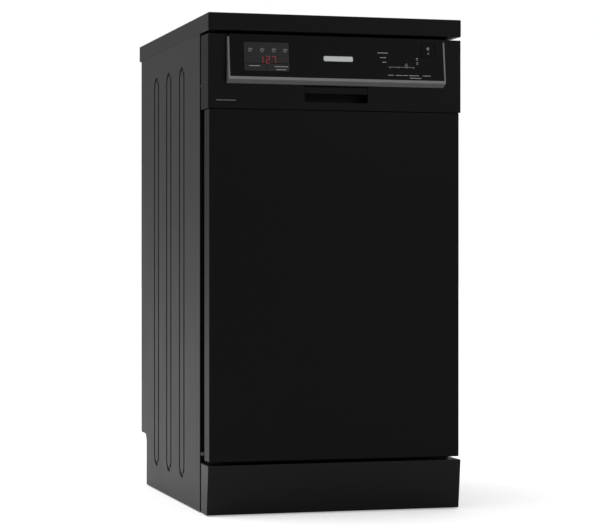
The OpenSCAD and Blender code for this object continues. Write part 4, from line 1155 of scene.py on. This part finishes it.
class APPLIANCE_OT_spray_arms(bpy.types.Operator):
    """Two spray arms with crowned blades and raised jets"""
    bl_idname = "appliance.spray_arms"
    bl_label = "Spray arms"

    def execute(self, context):
        for node in ("lower_spray_arm", "upper_spray_arm"):
            low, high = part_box(node)
            blade = soften(merged_copy(node), 0.0022, 3, 40)
            y = (low.y + high.y) / 2
            reach = (high.x - low.x) / 2
            depth, height, offset = 0.0022, 0.0020, 0.003
            jets = []
            for side in (-1, 1):
                for share in (0.32, 0.56, 0.8):
                    spot = Vector((side * reach * share, y + side * offset, high.z - depth))
                    jet = rod(spot, spot + Vector((0, 0, height)), 0.0034, 16)
                    edit(jet, "FACE", facing("+z"), inset(0.0014), move(0, 0, -0.0012))
                    jets.append(soften(jet, 0.0003))
            done(join(blade, *jets), node.replace("spray_arm", "sprayer"), node, "spray_plastic",
                 "Spray plastic", node)
        return {"FINISHED"}


class APPLIANCE_OT_filter(bpy.types.Operator):
    """Twist-out filter cup with its grip, dimples on the filter plate and the salt cap"""
    bl_idname = "appliance.filter"
    bl_label = "Filter and salt cap"

    def execute(self, context):
        rounded_node("filter_cylinder", "filter_cup", "filter_cylinder", "blue_plastic",
                     "Blue plastic", 0.0007)
        rounded_node("salt_cap", "salt_lid", "salt_cap", "blue_plastic", "Blue plastic", 0.0009)
        low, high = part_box("filter_plate")
        middle = (low + high) / 2
        radius = (high.x - low.x) / 2
        dimple = rod((0, 0, 0), (0, 0, 0.0006), 0.0012, 8)
        copies = []
        for ring, count in ((0.94, 52), (0.86, 48), (0.78, 42)):
            for x, y in circle_spots(count, radius * ring):
                copies.append(duplicate(
                    dimple, (middle.x + x, middle.y + y, high.z - 0.0004)))
        bpy.data.objects.remove(dimple)
        done(join(*copies), "filter_dimples", "cabinet", "stainless", "Zinc steel")
        return {"FINISHED"}


class APPLIANCE_OT_springs(bpy.types.Operator):
    """Coiled door springs beside the tub"""
    bl_idname = "appliance.springs"
    bl_label = "Door springs"

    def execute(self, context):
        low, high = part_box("door_springs")
        radius = (high.y - low.y) / 2
        gauge = 0.0007
        pitch = sizes().spring_pitch
        turns = int((high.z - low.z - 0.002) / pitch)
        deselect()
        bpy.ops.mesh.primitive_circle_add(
            vertices=6, radius=gauge, location=(radius - gauge, 0, 0), rotation=UPRIGHT)
        coil = settle(bpy.context.object)
        apply_modifier(coil, "SCREW", axis="Z", screw_offset=pitch, iterations=turns, steps=12,
                       render_steps=12, use_merge_vertices=False)
        edit(coil, "EDGE", lambda at, along: True,
             lambda: bpy.ops.mesh.select_all(action="SELECT"),
             lambda: bpy.ops.mesh.remove_doubles(threshold=1e-6),
             lambda: bpy.ops.mesh.fill_holes(sides=8),
             lambda: bpy.ops.mesh.normals_make_consistent(inside=False))
        coil.location = (high.x - radius, (low.y + high.y) / 2, low.z + gauge)
        settle(coil)
        done(mirrored(coil), "coiled_door_springs", "cabinet", "zinc_steel", "Zinc steel",
             "door_springs")
        return {"FINISHED"}


# ---- Stage ----

CAMERA_PLACE = (-1.011, -3.701, 0.431)
CAMERA_TURN = -15.51  # degrees about the upright
LENS_MM, SENSOR_MM = 124.8, 36
LENS_SHIFT = -0.008   # share of the sensor's width


def put(context, name, data, place, turn):
    """A light or a camera in the scene."""
    piece = bpy.data.objects.new(name, data)
    context.scene.collection.objects.link(piece)
    piece.location = place
    piece.rotation_euler = turn
    return piece


class APPLIANCE_OT_studio(bpy.types.Operator):
    """Pale floor, soft studio light and the camera"""
    bl_idname = "appliance.studio"
    bl_label = "Studio"

    def execute(self, context):
        deselect()
        bpy.ops.mesh.primitive_plane_add(size=60, location=(0, 0, 0))
        floor = bpy.context.object
        floor.name = "studio_floor"
        paint = finish("Pale floor", (0.86, 0.86, 0.86), 0.85, specular=0.1, drift=(0.01, 0.6),
                       grain=(40.0, 0.1), depth=0.0001)
        floor.data.materials.append(paint)
        surface = paint.node_tree.nodes["Principled BSDF"]
        surface.inputs["Emission Color"].default_value = (0.38, 0.38, 0.38, 1)
        rays = add_node(paint.node_tree, "LightPath")
        connect(paint.node_tree, (rays, "Is Camera Ray", surface, "Emission Strength"))
        world = bpy.data.worlds.new("Studio")
        world.use_nodes = True
        context.scene.world = world
        context.scene.view_settings.view_transform = "Standard"
        tree = world.node_tree
        white = ("Color", (1, 1, 1, 1))
        seen = add_node(tree, "Background", inputs=[white, ("Strength", 1.0)])
        soft = tree.nodes["Background"]
        for socket, value in (white, ("Strength", 0.28)):
            soft.inputs[socket].default_value = value
        path = add_node(tree, "LightPath")
        choose = add_node(tree, "MixShader")
        connect(tree, (path, "Is Camera Ray", choose, 0), (soft, 0, choose, 1),
                (seen, 0, choose, 2), (choose, 0, tree.nodes["World Output"], "Surface"))
        for name, place, aim, size, power in (
                ("side_softbox", (-3.2, 1.0, 2.2), (-0.1, 0, 0.75), 2.2, 30),
                ("front_softbox", (1.6, -3.6, 2.2), (0, 0, 0.4), 2.4, 20)):
            light = bpy.data.lights.new(name, "AREA")
            light.shape = "SQUARE"
            light.size = size
            light.energy = power
            way = (Vector(aim) - Vector(place)).to_track_quat("-Z", "Y")
            put(context, name, light, place, way.to_euler())
        sky = bpy.data.lights.new("sky_light", "SUN")
        sky.energy = 2.1
        sky.angle = math.radians(70)
        put(context, "sky_light", sky, (0, 0, 0), (math.radians(-12), math.radians(-8), 0))
        lens = bpy.data.cameras.new("camera")
        lens.lens = LENS_MM
        lens.sensor_width = SENSOR_MM
        lens.shift_y = LENS_SHIFT
        context.scene.camera = put(context, "camera", lens, CAMERA_PLACE,
                                   (math.pi / 2, 0, math.radians(CAMERA_TURN)))
        return {"FINISHED"}


OPERATORS = (
    APPLIANCE_OT_finishes, APPLIANCE_OT_worktop, APPLIANCE_OT_side_panels, APPLIANCE_OT_plinth,
    APPLIANCE_OT_feet, APPLIANCE_OT_door_panel, APPLIANCE_OT_door_liner,
    APPLIANCE_OT_control_housing, APPLIANCE_OT_keys, APPLIANCE_OT_panel_marks,
    APPLIANCE_OT_dispenser, APPLIANCE_OT_tub_details, APPLIANCE_OT_lower_rack,
    APPLIANCE_OT_upper_rack, APPLIANCE_OT_wheels, APPLIANCE_OT_basket, APPLIANCE_OT_spray_arms,
    APPLIANCE_OT_filter, APPLIANCE_OT_springs, APPLIANCE_OT_studio,
)


class APPLIANCE_PT_panel(bpy.types.Panel):
    """Lists the steps of the dishwasher"""
    bl_idname = "APPLIANCE_PT_panel"
    bl_label = "Slimline Dishwasher"
    bl_space_type = "VIEW_3D"
    bl_region_type = "UI"
    bl_category = "Dishwasher"

    def draw(self, context):
        for operator in OPERATORS:
            self.layout.operator(operator.bl_idname)
        for group in (context.scene.appliance_sizes, context.scene.appliance_colours):
            for key in group.bl_rna.properties.keys():
                if key not in ("rna_type", "name"):
                    self.layout.prop(group, key)


CLASSES = (ApplianceSizes, ApplianceColours, *OPERATORS, APPLIANCE_PT_panel)


def register():
    for cls in CLASSES:
        bpy.utils.register_class(cls)
    bpy.types.Scene.appliance_sizes = PointerProperty(type=ApplianceSizes)
    bpy.types.Scene.appliance_colours = PointerProperty(type=ApplianceColours)


def unregister():
    del bpy.types.Scene.appliance_colours
    del bpy.types.Scene.appliance_sizes
    for cls in reversed(CLASSES):
        bpy.utils.unregister_class(cls)


def main():
    register()
    for operator in OPERATORS:
        section, step = operator.bl_idname.split(".")
        getattr(getattr(bpy.ops, section), step)()


if __name__ == "__main__":
    main()
